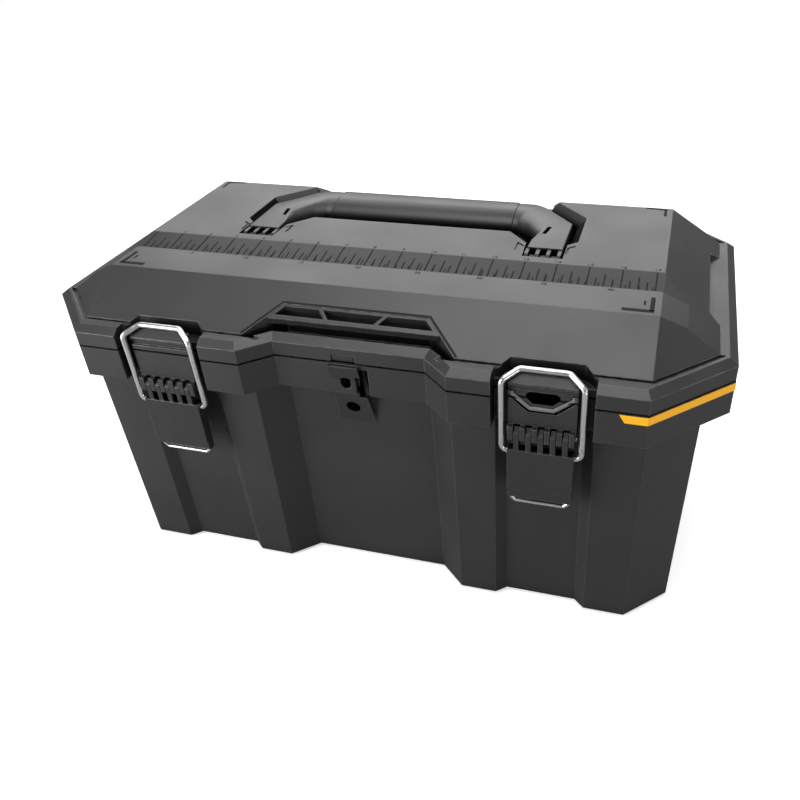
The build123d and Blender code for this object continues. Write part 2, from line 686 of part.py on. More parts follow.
def base_tub():
    outer = frustum(inset(foot_outline, foot_bevel), 0, tub_outline(foot_bevel), foot_bevel)
    outer += frustum(tub_outline(foot_bevel), foot_bevel, tub_outline(tub_top), tub_top)
    skirt = slab(rim_outline, skirt_bottom, tub_top)
    skirt -= slab(inset(rim_outline, skirt_wall), skirt_bottom - 1, tub_top - skirt_wall)
    columns = block(
        (latch_x - channel_half - skirt_wall, latch_x + channel_half + skirt_wall),
        (-rim_half_y, -foot_depth / 2 + bay_depth),
        (skirt_bottom, tub_top),
    )
    tub = outer + [skirt, columns, mirrored(columns)] + skirt_ribs()
    tub += lock_boss()
    tub -= lock_boss(skirt_wall)
    tub -= catch_cuts(skirt_bottom + 4.0, tub_top + 1)
    channel_low = [cut for i, cut in enumerate(catch_cuts(skirt_bottom - 1, tub_top + 1)) if i % 3 != 2]
    tub -= channel_low
    tub -= catch_tongue(tongue_margin, -rim_half_y - 1, catch_face + tongue_thickness + body_gap)
    for side in (-1, 1):
        pitch = 2 * latch_half_width / 3
        for i in (-1, 0, 1):
            middle = side * latch_x + i * pitch
            tub -= block((middle - pitch / 2 + column_web / 2, middle + pitch / 2 - column_web / 2),
                         (catch_face + 6, catch_face + 4 + column_core), (skirt_bottom - 1, tub_top - skirt_wall))

    for side in (-1, 1):
        base_runs, lever_runs = latch_runs(side)
        for run in base_runs:
            tub += knuckle(run, latch_pin_y, latch_pin_z, comb_radius)
            tub += block(run, (latch_pin_y - comb_radius, latch_pin_y + comb_radius),
                         (latch_pin_z, skirt_bottom + 4.0))
        for run in lever_runs:
            pocket = (run[0] - 2 * body_gap, run[1] + 2 * body_gap)
            tub -= block(pocket, (latch_pin_y - 2 * knuckle_radius, latch_pin_y + comb_clear),
                         (latch_pin_z - 2 * knuckle_radius, latch_pin_z + comb_clear + 1.0))
        ends = (side * latch_x - latch_half_width - 1, side * latch_x + latch_half_width + 1)
        tub -= comb_bore(ends, latch_pin_y, latch_pin_z, latch_pin_radius + pin_play)

    slot = block((lock_x - tab_half_width - 1, lock_x + tab_half_width + 1),
                 (tab_front - 3.0, tab_front + tab_thickness + 1.5), (tab_foot_z - 4, tub_top + 1))
    tub -= slot
    tub -= block((lock_x + lock_half_top - skirt_wall - 1, lock_x + lock_half_top + 7),
                 (-rim_half_y + notch_depth - 1, tab_front + tab_thickness), (tab_foot_z - 10, lock_top_z - 3))
    for z in (lock_upper_z, lock_lower_z):
        tub -= Solid.make_cylinder(
            lock_hole_radius, lock_bore, Plane(origin=(lock_x, lock_top_y - 1, z), z_dir=(0, 1, 0)))

    lugs = []
    for run in mirrored_runs(tub_hinge_runs):
        lug = rod_x(run, hinge_y, hinge_z, hinge_radius)
        lug += block(run, (rim_half_y - 1, hinge_y), (hinge_z - hinge_radius, hinge_z))
        lugs.append(lug)
    tub += lugs
    tub -= [rod_x(run, hinge_y, hinge_z, hinge_pin_radius + pin_play)
            for run in both_sides(hinge_x - hinge_length, hinge_x + hinge_length)]

    tub -= accent_stripe(stripe_play)

    inside = frustum(tub_outline(floor, wall), floor, tub_outline(tub_top + 1, wall), tub_top + 1)
    tub -= inside
    rest_z = tray_bottom - body_gap
    half = foot_length / 2 + draft_slope * rest_z - wall
    shelf = block((half - ledge_reach, half + 1), (-shelf_half, shelf_half), (rest_z - ledge_thickness, rest_z))
    gussets = [
        profile_y([(half - ledge_reach, rest_z - 1), (half + 0.5, rest_z - 1), (half + 0.5, rest_z - 30)],
                  (y - ledge_rib / 2, y + ledge_rib / 2))
        for y in (-90.0, -45.0, 0.0, 45.0, 90.0)
    ]
    tub += [shelf, mirrored(shelf)] + gussets + [mirrored(g) for g in gussets]
    return tub


def profile_y(points, y_range):
    """Prism along Y over an (x, z) profile."""
    y0, y1 = y_range
    face = Face(Wire.make_polygon([(x, y0, z) for x, z in points], close=True))
    return Solid.extrude(face, Vector(0, y1 - y0, 0))


# ---- Latches ---------------------------------------------------------------------------------
def latch_runs(side):
    """Comb of a latch: the tub's runs and the lever's runs."""
    x0 = side * latch_x - latch_half_width
    return knuckles(x0, x0 + 2 * latch_half_width, 2 * latch_fingers + 1, 2 * body_gap)


def latch_lever(side):
    middle = side * latch_x
    width = (middle - latch_half_width, middle + latch_half_width)
    top = latch_pin_z - comb_radius - lever_slot
    stepped = -lever_front + lever_step
    profile = [
        (-lever_front, lever_foot_z + lever_step_height + lever_step),
        (stepped, lever_foot_z + lever_step_height),
        (stepped, lever_foot_z + 2.0),
        (stepped + 1.5, lever_foot_z),
        (-lever_front + lever_thickness, lever_foot_z),
        (-lever_front + lever_thickness, top),
        (-lever_front, top),
    ]
    lever = profile_x(profile, width)
    lever -= block((width[0] + 3, width[1] - 3),
                   (-lever_front + 3, -lever_front + lever_thickness + 1), (lever_foot_z + 6, bail_pivot_z - 7))
    for run in latch_runs(side)[1]:
        lever += knuckle(run, latch_pin_y, latch_pin_z, comb_radius)
        lever += block(run, (-lever_front + 0.6, latch_pin_y), (top - 1, latch_pin_z))
    lever -= comb_bore(width, latch_pin_y, latch_pin_z, latch_pin_radius + pin_play)
    for end in (-1, 1):
        reach = sorted((middle + end * (latch_half_width + 1), middle + end * (latch_half_width - 8)))
        lever -= rod_x(reach, bail_pivot_y, bail_pivot_z, wire_radius + pin_play)
    return lever - pull_wire(side, pin_play)


def pull_pivot_y():
    return -lever_front + lever_thickness - 3.2


def wire(points, radius, bend):
    """Wire of sixteen sides along a run of points, each corner cut short by the bend."""
    points = [Vector(*p) for p in points]
    run = [points[0]]
    for before, corner, after in zip(points[:-2], points[1:-1], points[2:]):
        back, onward = (before - corner).normalized(), (after - corner).normalized()
        run += [corner + back * bend, corner + onward * bend]
    run.append(points[-1])
    path = Polyline(*run)
    section = Plane(origin=path @ 0, z_dir=path % 0) * RegularPolygon(radius, 16)
    return sweep(section, path=path, transition=Transition.RIGHT).solid()


def latch_bail(side):
    middle = side * latch_x
    foot = latch_half_width - 6.0
    lean = (bail_bar_y - bail_pivot_y) / (bail_bar_z - bail_pivot_z)

    def at(x, z):
        return (middle + x, bail_pivot_y + lean * (z - bail_pivot_z), z)

    half = [at(foot, bail_pivot_z), at(bail_half_width, bail_pivot_z),
            at(bail_half_width, bail_shoulder_z), at(bail_bar_half, bail_bar_z)]
    other = [(2 * middle - x, y, z) for x, y, z in half[::-1]]
    return wire(half + other, wire_radius, 3.0)


def pull_wire(side, play=0.0):
    """Ring at the lever's foot, its ends let into the lever; with play, the holes for them."""
    middle = side * latch_x
    z = lever_foot_z
    y = pull_pivot_y()
    out = latch_half_width - 2.4
    half = [(out, z + 5.0 + play), (out, z - pull_drop + pull_slant), (out - pull_slant, z - pull_drop)]
    points = [(middle + x, y, z) for x, z in half] + [(middle - x, y, z) for x, z in half[::-1]]
    return wire(points, pull_wire_radius + play, 0.8)


def latch_pin(side):
    x = side * latch_x
    half = latch_half_width + 0.8
    return rod_x((x - half, x + half), latch_pin_y, latch_pin_z, latch_pin_radius)


# ---- Carry handle ----------------------------------------------------------------------------
def carry_handle_frame():
    top = deck_z + handle_proud
    bottom = top - handle_thickness
    inner = handle_block_inner
    outer = handle_block_outer
    start = handle_axis_y + knuckle_radius
    elbow = bar_back - handle_elbow
    arm = [
        (inner, start),
        (outer, start),
        (outer, elbow),
        (outer - 29.0, elbow + 34.0),
        (outer - 39.0, bar_back - 1),
        (bar_half_length + 0.05, bar_back - 1),
        (bar_half_length + 0.05, bar_front + 1),
        (inner - 6.0, bar_front + 1),
        (inner + 5.0, bar_front - 10.0),
        (inner + 3.0, bar_front - 30.0),
    ]
    right = slab(arm, bottom, top)
    for run in handle_runs:
        right += knuckle(run, handle_axis_y, handle_axis_z, knuckle_radius)
        right += block(run, (handle_axis_y, start + 1),
                       (handle_axis_z - knuckle_radius, handle_axis_z + knuckle_radius))
    slot_x, slot_front, slot_back, slot_width = handle_slot
    slot_x += inner
    slot = [(slot_x - slot_width, slot_front), (slot_x, slot_front), (slot_x + slot_width, slot_back),
            (slot_x, slot_back)]
    right -= slab(slot, top - 5.0, top + 1)
    frame = Part() + [right, mirrored(right)]
    frame += block((-bar_half_length - 2, bar_half_length + 2), *bar_section(grip_wall + 0.05))
    return frame - [comb_bore(run, handle_axis_y, handle_axis_z, handle_pin_radius + pin_play)
                    for run in mirrored_runs(handle_runs)]


def bar_section(shrink):
    """Y and Z range of the handle's bar, or of the core inside it."""
    top = deck_z + handle_proud + 0.5
    return ((bar_front + shrink, bar_back - shrink), (top - bar_thickness + shrink, top - shrink))


def carry_handle_grip():
    x_range = (-bar_half_length, bar_half_length)
    sleeve = block(x_range, *bar_section(0.0))
    sleeve = fillet(sleeve.edges().filter_by(Axis.X), grip_edge)
    return sleeve - block((x_range[0] - 1, x_range[1] + 1), *bar_section(grip_wall))


def handle_pin(side):
    x0, x1 = handle_block_inner, handle_block_outer
    run = (x0, x1) if side > 0 else (-x1, -x0)
    return rod_x(run, handle_axis_y, handle_axis_z, handle_pin_radius)


# ---- Grip insert -----------------------------------------------------------------------------
def front_grip_insert():
    seat = inset(grip_outline, 0.1)
    slope = (deck_z - ledge_drop - rim_top) / (dome_half_y + ledge_front)

    def on_slope(y, sink):
        return rim_top + (y + dome_half_y) * slope - sink

    plate = slab(seat, grip_floor_z, above)
    sides = [
        (grip_bar_y, on_slope(grip_bar_y, 0.2)),
        (grip_top_y, on_slope(grip_top_y, 0.2)),
        (grip_top_y, on_slope(grip_top_y, 0.2 + grip_plate)),
        (grip_bar_y, on_slope(grip_bar_y, 0.2 + grip_plate)),
    ]
    plate = plate & profile_x(sides, (-grip_half_mouth, grip_half_mouth))
    low, high = grip_bar_y + grip_bar_width, grip_top_y - grip_strip_width
    flare = (grip_half_mouth - grip_half_top) / (grip_top_y - grip_mouth_y)

    def end(y):
        return grip_half_top + (grip_top_y - y) * flare - grip_strut_width / 2

    left, right = grip_struts
    lean = grip_strut_lean
    stops_low = [-end(low), left + lean, right - lean, end(low)]
    stops_high = [-end(high), left - lean, right + lean, end(high)]
    half = grip_strut_width / 2
    for a, b, c, d in zip(stops_low[:-1], stops_low[1:], stops_high[1:], stops_high[:-1]):
        window = [(a + half, low), (b - half, low), (c - half, high), (d + half, high)]
        plate -= slab(window, grip_floor_z, above)
    return plate


# ---- Stripes, pins and tray ------------------------------------------------------------------
def accent_stripe(play=0.0):
    """Stripe let into the skirt; with play, the channel it lies in."""
    proud = inset(rim_outline, -stripe_proud - play)
    buried = inset(rim_outline, stripe_depth + play)
    top = tub_top - stripe_drop + play
    low = top - stripe_height - 2 * play
    band = slab(proud, low, top) - slab(buried, low - 1, top + 1)
    slant = stripe_height * stripe_slant
    start = profile_y(
        [(stripe_start - play, top), (stripe_start + slant - play, low), (rim_half_x + 5, low),
         (rim_half_x + 5, top)], (-rim_half_y - 5, stripe_end + play))
    return (band & start).solid()


def hinge_pin(side):
    x = side * hinge_x
    half = hinge_length / 2
    return rod_x((x - half, x + half), hinge_y, hinge_z, hinge_pin_radius)


def tray_plan(z, thickness=0.0):
    half_x, half_y = tray_half_x, tray_depth / 2
    return inset(outline(half_x, half_y, tray_corner), thickness + tray_lean * (tray_top - z))


def lift_out_tray():
    tray = frustum(tray_plan(tray_bottom), tray_bottom, tray_plan(tray_top), tray_top)
    tray += slab(inset(tray_plan(tray_top), -tray_edge), tray_top - 2.5, tray_top)
    low = tray_bottom + tray_wall
    for side in (-1, 1):
        room = block((-tray_half_x, tray_half_x), sorted((side * spine_half, side * tray_depth)),
                     (low, tray_top + 1))
        tray -= frustum(tray_plan(low, tray_wall), low, tray_plan(tray_top + 1, tray_wall), tray_top + 1) & room
    hollow = block((-tray_half_x + 12, tray_half_x - 12),
                   (-spine_half + tray_wall, spine_half - tray_wall), (tray_bottom - 1, tray_top - tray_wall))
    tray -= hollow
    seat = tray_grip_half + 0.1
    for x in (-seat + 6, seat - 6):
        tray -= block((x - 6.1, x + 6.1), (-spine_half + tray_wall + 0.5, spine_half - tray_wall - 0.5),
                      (tray_top - 9, tray_top + 1))
    for x in divider_places:
        for side in (-1, 1):
            end = side * (tray_depth / 2 - 12)
            rail = sorted((end, end + side * 14))
            half = divider_thickness / 2 + divider_play
            post = block((x - half - 2, x + half + 2), rail, (low - 0.5, tray_top - 6))
            post -= block((x - half, x + half), rail, (low, tray_top))
            tray += post & frustum(tray_plan(tray_bottom, 1), tray_bottom, tray_plan(tray_top, 1), tray_top)
    return tray


def tray_handle():
    half = tray_grip_half
    width = spine_half - tray_wall - 0.6
    top = tray_top + tray_grip_rise
    grip = block((-half, half), (-width, width), (top - tray_grip_bar, top))
    for x in (-half + 6, half - 6):
        grip += block((x - 6, x + 6), (-width, width), (tray_top - 8.5, top))
    return fillet(grip.edges().filter_by(Axis.X).sort_by(Axis.Z)[-2:], tray_grip_bar / 3)


def tray_dividers():
    plates = []
    for x in divider_places:
        for side in (-1, 1):
            y0 = side * (spine_half + divider_play)
            y1 = side * (tray_depth / 2 - tray_wall - 2.0 - tray_lean * (tray_top - tray_bottom))
            z0 = tray_bottom + tray_wall + divider_play
            plates.append(block((x - divider_thickness / 2, x + divider_thickness / 2), sorted((y0, y1)),
                                (z0, tray_top - 8)))
    return Compound(children=plates)


def write(name, shape):
    solids = shape.moved(Location((0, -mid_y, 0))).solids()
    whole = solids[0] if len(solids) == 1 else Compound(children=list(solids))
    whole.label = name
    export_step(whole, os.path.join("parts", name + ".step"))


def main():
    os.makedirs("parts", exist_ok=True)
    write("base_tub", base_tub())
    write("lid_shell", lid_shell())
    write("carry_handle_frame", carry_handle_frame())
    write("carry_handle_grip", carry_handle_grip())
    write("front_grip_insert", front_grip_insert())
    write("right_accent_stripe", accent_stripe())
    write("lift_out_tray", lift_out_tray())
    write("tray_handle", tray_handle())
    write("tray_dividers", tray_dividers())
    for side, word in ((1, "right"), (-1, "left")):
        write(word + "_handle_pin", handle_pin(side))
        write(word + "_hinge_pin", hinge_pin(side))
        write(word + "_latch_lever", latch_lever(side))
        write(word + "_latch_pin", latch_pin(side))
        write(word + "_latch_bail", latch_bail(side))
        write(word + "_pull_wire", pull_wire(side))


if __name__ == "__main__":
    main()
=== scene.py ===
"""Looks of the toolbox: plastics and steels, latch wires, carry handle, ruler, light, camera."""
import json
import math

import bmesh
import bpy
import numpy as np
from mathutils import Matrix, Vector


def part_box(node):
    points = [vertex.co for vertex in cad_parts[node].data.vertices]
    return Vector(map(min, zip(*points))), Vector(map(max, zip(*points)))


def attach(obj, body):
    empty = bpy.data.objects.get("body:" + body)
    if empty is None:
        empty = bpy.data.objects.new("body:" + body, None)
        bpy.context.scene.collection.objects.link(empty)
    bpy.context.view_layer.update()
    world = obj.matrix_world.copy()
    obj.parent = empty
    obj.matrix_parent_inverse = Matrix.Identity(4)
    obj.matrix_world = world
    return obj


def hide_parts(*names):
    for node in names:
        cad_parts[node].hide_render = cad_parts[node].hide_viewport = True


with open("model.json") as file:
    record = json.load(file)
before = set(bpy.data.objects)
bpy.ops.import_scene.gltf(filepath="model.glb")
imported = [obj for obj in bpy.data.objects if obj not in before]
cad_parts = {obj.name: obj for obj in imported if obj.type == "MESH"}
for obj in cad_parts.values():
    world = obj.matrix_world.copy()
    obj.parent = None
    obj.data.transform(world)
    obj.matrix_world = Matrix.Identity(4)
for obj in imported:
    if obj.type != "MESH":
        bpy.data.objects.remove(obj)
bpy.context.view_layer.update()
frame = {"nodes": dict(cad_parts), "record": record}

MM = 0.001
INCH = 25.4 * MM
PARTING_LINE = 221.95 * MM      # height of the gap between tub and lid


# ---- Camera ----------------------------------------------------------------------------------
def make_camera(location, azimuth, elevation, roll, lens, shift):
    """Camera that looks along an azimuth from the front and down by an elevation, in degrees."""
    az, el, turn = (math.radians(a) for a in (azimuth, elevation, roll))
    back = Vector((math.sin(az) * math.cos(el), -math.cos(az) * math.cos(el), math.sin(el)))
    right = (-back).cross(Vector((0, 0, 1))).normalized()
    up = right.cross(-back)
    right, up = (
        right * math.cos(turn) + up * math.sin(turn),
        -right * math.sin(turn) + up * math.cos(turn),
    )
    data = bpy.data.cameras.new("camera")
    data.sensor_width = 36.0
    data.lens = lens
    data.shift_x, data.shift_y = shift
    data.clip_start = 0.01
    camera = bpy.data.objects.new("camera", data)
    turned = Matrix((right, up, back)).transposed().to_4x4()
    camera.matrix_world = Matrix.Translation(location) @ turned
    bpy.context.scene.collection.objects.link(camera)
    bpy.context.scene.camera = camera


make_camera(
    location=Vector((0.2201, -0.6005, 0.5314)),
    azimuth=16.77,
    elevation=34.41,
    roll=-2.5,
    lens=35.15,
    shift=(-0.0691, -0.0069),
)


# ---- Node helpers ----------------------------------------------------------------------------
class Nodes:
    """A node tree with short calls: every call adds a node and returns one of its outputs."""

    def __init__(self, tree):
        self.tree = tree

    def add(self, kind, inputs=(), output=0, **settings):
        node = self.tree.nodes.new(kind)
        for name, value in settings.items():
            setattr(node, name, value)
        for key, value in dict(inputs).items():
            self.feed(node.inputs[key], value)
        return node.outputs[output]

    def feed(self, socket, value):
        """Link the socket to an output, or set it to a plain value."""
        if isinstance(value, bpy.types.NodeSocket):
            self.tree.links.new(value, socket)
        else:
            socket.default_value = value

    def math(self, operation, a, b=0.0, c=0.0, clamp=False):
        inputs = {0: a, 1: b, 2: c}
        return self.add("ShaderNodeMath", inputs, operation=operation, use_clamp=clamp)

    def ramp(self, value, low, high, to_low=0.0, to_high=1.0):
        """Smooth step of a value from low to high."""
        return self.add(
            "ShaderNodeMapRange",
            {
                "Value": value,
                "From Min": low,
                "From Max": high,
                "To Min": to_low,
                "To Max": to_high,
            },
            interpolation_type="SMOOTHSTEP",
        )

    def noise(self, vector, scale, detail=2.0, rough=0.5):
        return self.add(
            "ShaderNodeTexNoise",
            {"Vector": vector, "Scale": scale, "Detail": detail, "Roughness": rough},
            output="Fac",
        )

    def mix(self, factor, a, b):
        """Blend of two colours."""
        node = self.tree.nodes.new("ShaderNodeMix")
        node.data_type = "RGBA"
        self.feed(node.inputs[0], factor)
        self.feed(node.inputs[6], a)
        self.feed(node.inputs[7], b)
        return node.outputs[2]

    def place(self):
        """Object coordinates: metres in the shared frame."""
        return self.add("ShaderNodeTexCoord", output="Object")

    def facing(self):
        """Direction that the surface looks in, in the shared frame."""
        return self.add("ShaderNodeTexCoord", output="Normal")

    def part(self, vector, axis):
        """X, Y or Z of a vector."""
        return self.add("ShaderNodeSeparateXYZ", {0: vector}, output=axis)


def group(name, inputs, outputs, build):
    """Shared node group; inputs and outputs are (name, kind, default)."""
    tree = bpy.data.node_groups.new(name, "ShaderNodeTree")
    for label, kind, default in inputs:
        socket = tree.interface.new_socket(label, in_out="INPUT", socket_type=kind)
        socket.default_value = default
    for label, kind in outputs:
        tree.interface.new_socket(label, in_out="OUTPUT", socket_type=kind)
    source = tree.nodes.new("NodeGroupInput")
    sink = tree.nodes.new("NodeGroupOutput")
    nodes = Nodes(tree)
    for label, value in build(nodes, source.outputs).items():
        nodes.feed(sink.inputs[label], value)
    return tree


def use_group(nodes, tree, inputs):
    """Place a shared group and return its outputs by name."""
    node = nodes.tree.nodes.new("ShaderNodeGroup")
    node.node_tree = tree
    for label, value in inputs.items():
        nodes.feed(node.inputs[label], value)
    return dict(node.outputs.items())


FLOAT, COLOUR, VECTOR = "NodeSocketFloat", "NodeSocketColor", "NodeSocketVector"
UNLIT = (0.001, 0.001, 0.001, 1.0)
# painted shadow of the gap between tub and lid
GAP_FADE, GAP_FULL = 0.95 * MM, 0.55 * MM       # its black fades between these, off its middle


def moulded_plastic(nodes, given):
    """Spark-eroded plastic: fine grain, slow mottling, paler edges, faint scuffs and painted shade.

    The paler edges are partly rubbing and partly painted highlight; creases take painted shade.
    The lips of the gap between tub and lid (upright faces only, so that the rims stay plain when
    the lid is open) and the deepest corners are painted black as shade and take no gloss: with
    Metallic at 1 a black surface mirrors nothing.
    """
    place = nodes.place()
    grain = nodes.noise(place, nodes.math("DIVIDE", 1.0, given["Grain"]), 3.0, 0.6)
    slow = nodes.noise(place, 14.0, 4.0, 0.55)

    # Scuffs: long streaks that show in patches.
    stretched = nodes.add(
        "ShaderNodeMapping",
        {"Vector": place, "Rotation": (0.3, 0.2, 0.7), "Scale": (1.0, 14.0, 9.0)},
    )
    streaks = nodes.ramp(nodes.noise(stretched, 38.0, 5.0, 0.7), 0.62, 0.74)
    patches = nodes.ramp(nodes.noise(place, 22.0, 3.0), 0.5, 0.7)
    scuffed = nodes.math("MULTIPLY", nodes.math("MULTIPLY", streaks, patches), given["Scuffs"])

    # Paler edges, partly rubbing and partly painted highlight: where the rounded normal leaves the
    # true one, broken up by noise.
    soft = nodes.add("ShaderNodeBevel", {"Radius": given["Edge Radius"]}, samples=6)
    true = nodes.add("ShaderNodeNewGeometry", output="Normal")
    likeness = nodes.add(
        "ShaderNodeVectorMath", {0: soft, 1: true}, output="Value", operation="DOT_PRODUCT"
    )
    edge = nodes.ramp(likeness, 0.995, 0.93)
    breaks = nodes.ramp(nodes.noise(place, 160.0, 4.0, 0.6), 0.3, 0.62)
    edge_rub_and_highlight = nodes.math("MULTIPLY", nodes.math("MULTIPLY", edge, breaks), given["Edge Wear"])

    # Painted shade: black lips of the gap, black in the deepest corners, darker creases.
    open_sky = nodes.add("ShaderNodeAmbientOcclusion", {"Distance": 0.02}, output="AO", samples=6)
    crevice_shade = nodes.ramp(open_sky, 0.3, 0.8, 0.08, 1.0)
    deep_corner_shade = nodes.ramp(open_sky, 0.3, 0.12)
    height = nodes.part(place, "Z")
    from_gap = nodes.math("ABSOLUTE", nodes.math("SUBTRACT", height, PARTING_LINE))
    upright = nodes.ramp(nodes.math("ABSOLUTE", nodes.part(nodes.facing(), "Z")), 0.5, 0.2)
    gap = nodes.math("MULTIPLY", nodes.ramp(from_gap, GAP_FADE, GAP_FULL), upright)
    unlit = nodes.math("MAXIMUM", gap, deep_corner_shade)

    # painted shade darkens the mottled tone in creases
    tone = nodes.math("MULTIPLY", nodes.math("MULTIPLY_ADD", slow, 0.5, 0.75), crevice_shade)
    tone = nodes.math("MULTIPLY", tone, nodes.math("MULTIPLY_ADD", grain, 0.3, 0.85))
    tinted = nodes.add(
        "ShaderNodeVectorMath", {0: given["Colour"], "Scale": tone}, operation="SCALE"
    )
    # paler edges (rubbing and painted highlight) and scuffs blend towards the paler colour
    scuff_rub_and_highlight = nodes.math("ADD", edge_rub_and_highlight, scuffed, clamp=True)
    worn_and_highlit_colour = nodes.mix(scuff_rub_and_highlight, tinted, given["Worn And Highlight Colour"])
    mottled = nodes.math("SUBTRACT", slow, 0.5)
    rough = nodes.math("MULTIPLY_ADD", mottled, 0.25, given["Roughness"])
    rough = nodes.math("MULTIPLY_ADD", edge_rub_and_highlight, -0.12, rough)
    rough = nodes.math("ADD", rough, gap, clamp=True)
    relief = nodes.math("MULTIPLY_ADD", gap, -3.0, grain)
    bump = nodes.add(
        "ShaderNodeBump",
        {"Strength": given["Grain Depth"], "Distance": 0.0002, "Height": relief, "Normal": soft},
        output="Normal",
    )
    return {
        "Base Color": nodes.mix(unlit, worn_and_highlit_colour, UNLIT),
        "Roughness": rough,
        "Metallic": unlit,
        "Normal": bump,
    }


PLASTIC = group(
    "moulded plastic",
    [
        ("Colour", COLOUR, (0.03, 0.03, 0.032, 1.0)),
        ("Worn And Highlight Colour", COLOUR, (0.2, 0.2, 0.205, 1.0)),
        ("Roughness", FLOAT, 0.45),
        ("Grain", FLOAT, 0.0006),
        ("Grain Depth", FLOAT, 0.5),
        ("Edge Radius", FLOAT, 0.0011),
        ("Edge Wear", FLOAT, 0.45),
        ("Scuffs", FLOAT, 0.15),
    ],
    [("Base Color", COLOUR), ("Roughness", FLOAT), ("Metallic", FLOAT), ("Normal", VECTOR)],
    moulded_plastic,
)


def material(name, build):
    """New material whose look comes from build(nodes), a dictionary of shader inputs."""
    made = bpy.data.materials.new(name)
    made.use_nodes = True
    tree = made.node_tree
    tree.nodes.clear()
    nodes = Nodes(tree)
    shader = tree.nodes.new("ShaderNodeBsdfPrincipled")
    for label, value in build(nodes).items():
        nodes.feed(shader.inputs[label], value)
    out = tree.nodes.new("ShaderNodeOutputMaterial")
    tree.links.new(shader.outputs[0], out.inputs[0])
    return made


def plastic(name, **given):
    """Plain moulded plastic; the group's inputs are given by name, with _ for a space."""
    inputs = {label.replace("_", " "): value for label, value in given.items()}
    return material(name, lambda nodes: use_group(nodes, PLASTIC, inputs))


def charcoal(value):
    """Near-neutral dark colour with a trace of blue."""
    return (value, value, value * 1.03, 1.0)


# painted shade: where and how far the handle's recess and the ruler's strip are painted darker
SHADE_START, SHADE_FULL = 265.5 * MM, 260.5 * MM        # the handle's recess darkens between these
RECESS_LIP = 268.9 * MM         # its end walls are dark from here down
RECESS_HALF_X = 156.0 * MM
RECESS_FRONT, RECESS_BACK = -36.0 * MM, 86.0 * MM
RECESS_SHADE_DULLNESS = 0.8           # share of the gloss that the shade takes away
STRIP_SHADE = 0.45              # the ruler's strip, told by its slight forward fall
STRIP_FORWARD = (-0.1, -0.14)   # y of its normal, from no shade to full
STRIP_LEVEL = (0.95, 0.975)     # z of its normal


def lid_plastic():
    """The lid's moulded plastic, with painted shade in the handle's recess and on the ruler's
    strip.

    The painted shade is the product of a fall with depth, faster on the two end walls, and of the
    recess's sides in plan; the strip takes a fixed share of it.
    """
    def build(nodes):
        x, y, z = (nodes.part(nodes.place(), axis) for axis in "XYZ")
        across, forward, level = (nodes.part(nodes.facing(), axis) for axis in "XYZ")
        end_wall = nodes.math(
            "MULTIPLY",
            nodes.ramp(nodes.math("ABSOLUTE", across), 0.6, 0.7),
            nodes.ramp(z, RECESS_LIP, RECESS_LIP - MM),
        )
        shade = nodes.math("MAXIMUM", nodes.ramp(z, SHADE_START, SHADE_FULL), end_wall)
        for value, low, high in (
            (nodes.math("ABSOLUTE", x), RECESS_HALF_X + MM, RECESS_HALF_X),
            (y, RECESS_FRONT - MM, RECESS_FRONT),
            (y, RECESS_BACK + MM, RECESS_BACK),
        ):
            shade = nodes.math("MULTIPLY", shade, nodes.ramp(value, low, high))
        # painted shade on the ruler's strip, told by the lean of its normal
        strip = nodes.math(
            "MULTIPLY", nodes.ramp(forward, *STRIP_FORWARD), nodes.ramp(level, *STRIP_LEVEL)
        )
        shade = nodes.math("MAXIMUM", shade, nodes.math("MULTIPLY", strip, STRIP_SHADE))
        # painted shade: the plastic goes from charcoal towards near-black
        colour = nodes.mix(shade, charcoal(0.032), charcoal(0.005))
        given = {"Colour": colour, "Roughness": 0.42, "Grain Depth": 0.45, "Edge Wear": 0.8}
        inputs = use_group(nodes, PLASTIC, given)
        # painted shade also takes the gloss away: Metallic over the dark colour, and full roughness
        dull = nodes.math("MULTIPLY", shade, RECESS_SHADE_DULLNESS)
        inputs["Metallic"] = nodes.math("MAXIMUM", inputs["Metallic"], dull)
        inputs["Roughness"] = nodes.math("MAXIMUM", inputs["Roughness"], shade)
        return inputs

    return material("lid", build)


# painted shade: its gloss is taken where the handle faces away
HANDLE_SHADE_DULLNESS = 0.5           # share of the gloss that is lost where the handle faces away


def handle_plastic(name, top, side, roughness):
    """Handle's plastic: smoother and painted paler on top, painted dark and dull facing away."""
    def build(nodes):
        # painted light and shade by facing: upward faces take the top colour, the rest the side
        # colour
        upward = nodes.ramp(nodes.part(nodes.facing(), "Z"), 0.3, 0.95)
        given = {
            "Colour": nodes.mix(upward, charcoal(side), charcoal(top)),
            "Roughness": nodes.math("MULTIPLY_ADD", upward, -0.3, roughness + 0.3),
            "Grain Depth": 0.3,
        }
        inputs = use_group(nodes, PLASTIC, given)
        # painted shade: Metallic over the dark side colour takes the gloss away
        dull = nodes.math("MULTIPLY_ADD", upward, -HANDLE_SHADE_DULLNESS, HANDLE_SHADE_DULLNESS)
        inputs["Metallic"] = nodes.math("MAXIMUM", inputs["Metallic"], dull)
        return inputs

    return material(name, build)


def drawn_steel(name, colour, roughness):
    """Plated wire: bright metal with fine lines along its length and a few dull spots."""
    def build(nodes):
        place = nodes.place()
        fine = nodes.noise(place, 900.0, 3.0, 0.6)
        dull = nodes.ramp(nodes.noise(place, 120.0, 4.0), 0.5, 0.75)
        darker = tuple(c * 0.6 for c in colour[:3]) + (1.0,)
        return {
            "Base Color": nodes.mix(dull, colour, darker),
            "Metallic": 1.0,
            "Roughness": nodes.math("MULTIPLY_ADD", dull, 0.25, roughness),
            "Normal": nodes.add(
                "ShaderNodeBump",
                {"Strength": 0.15, "Distance": 0.0001, "Height": fine},
                output="Normal",
            ),
        }

    return material(name, build)


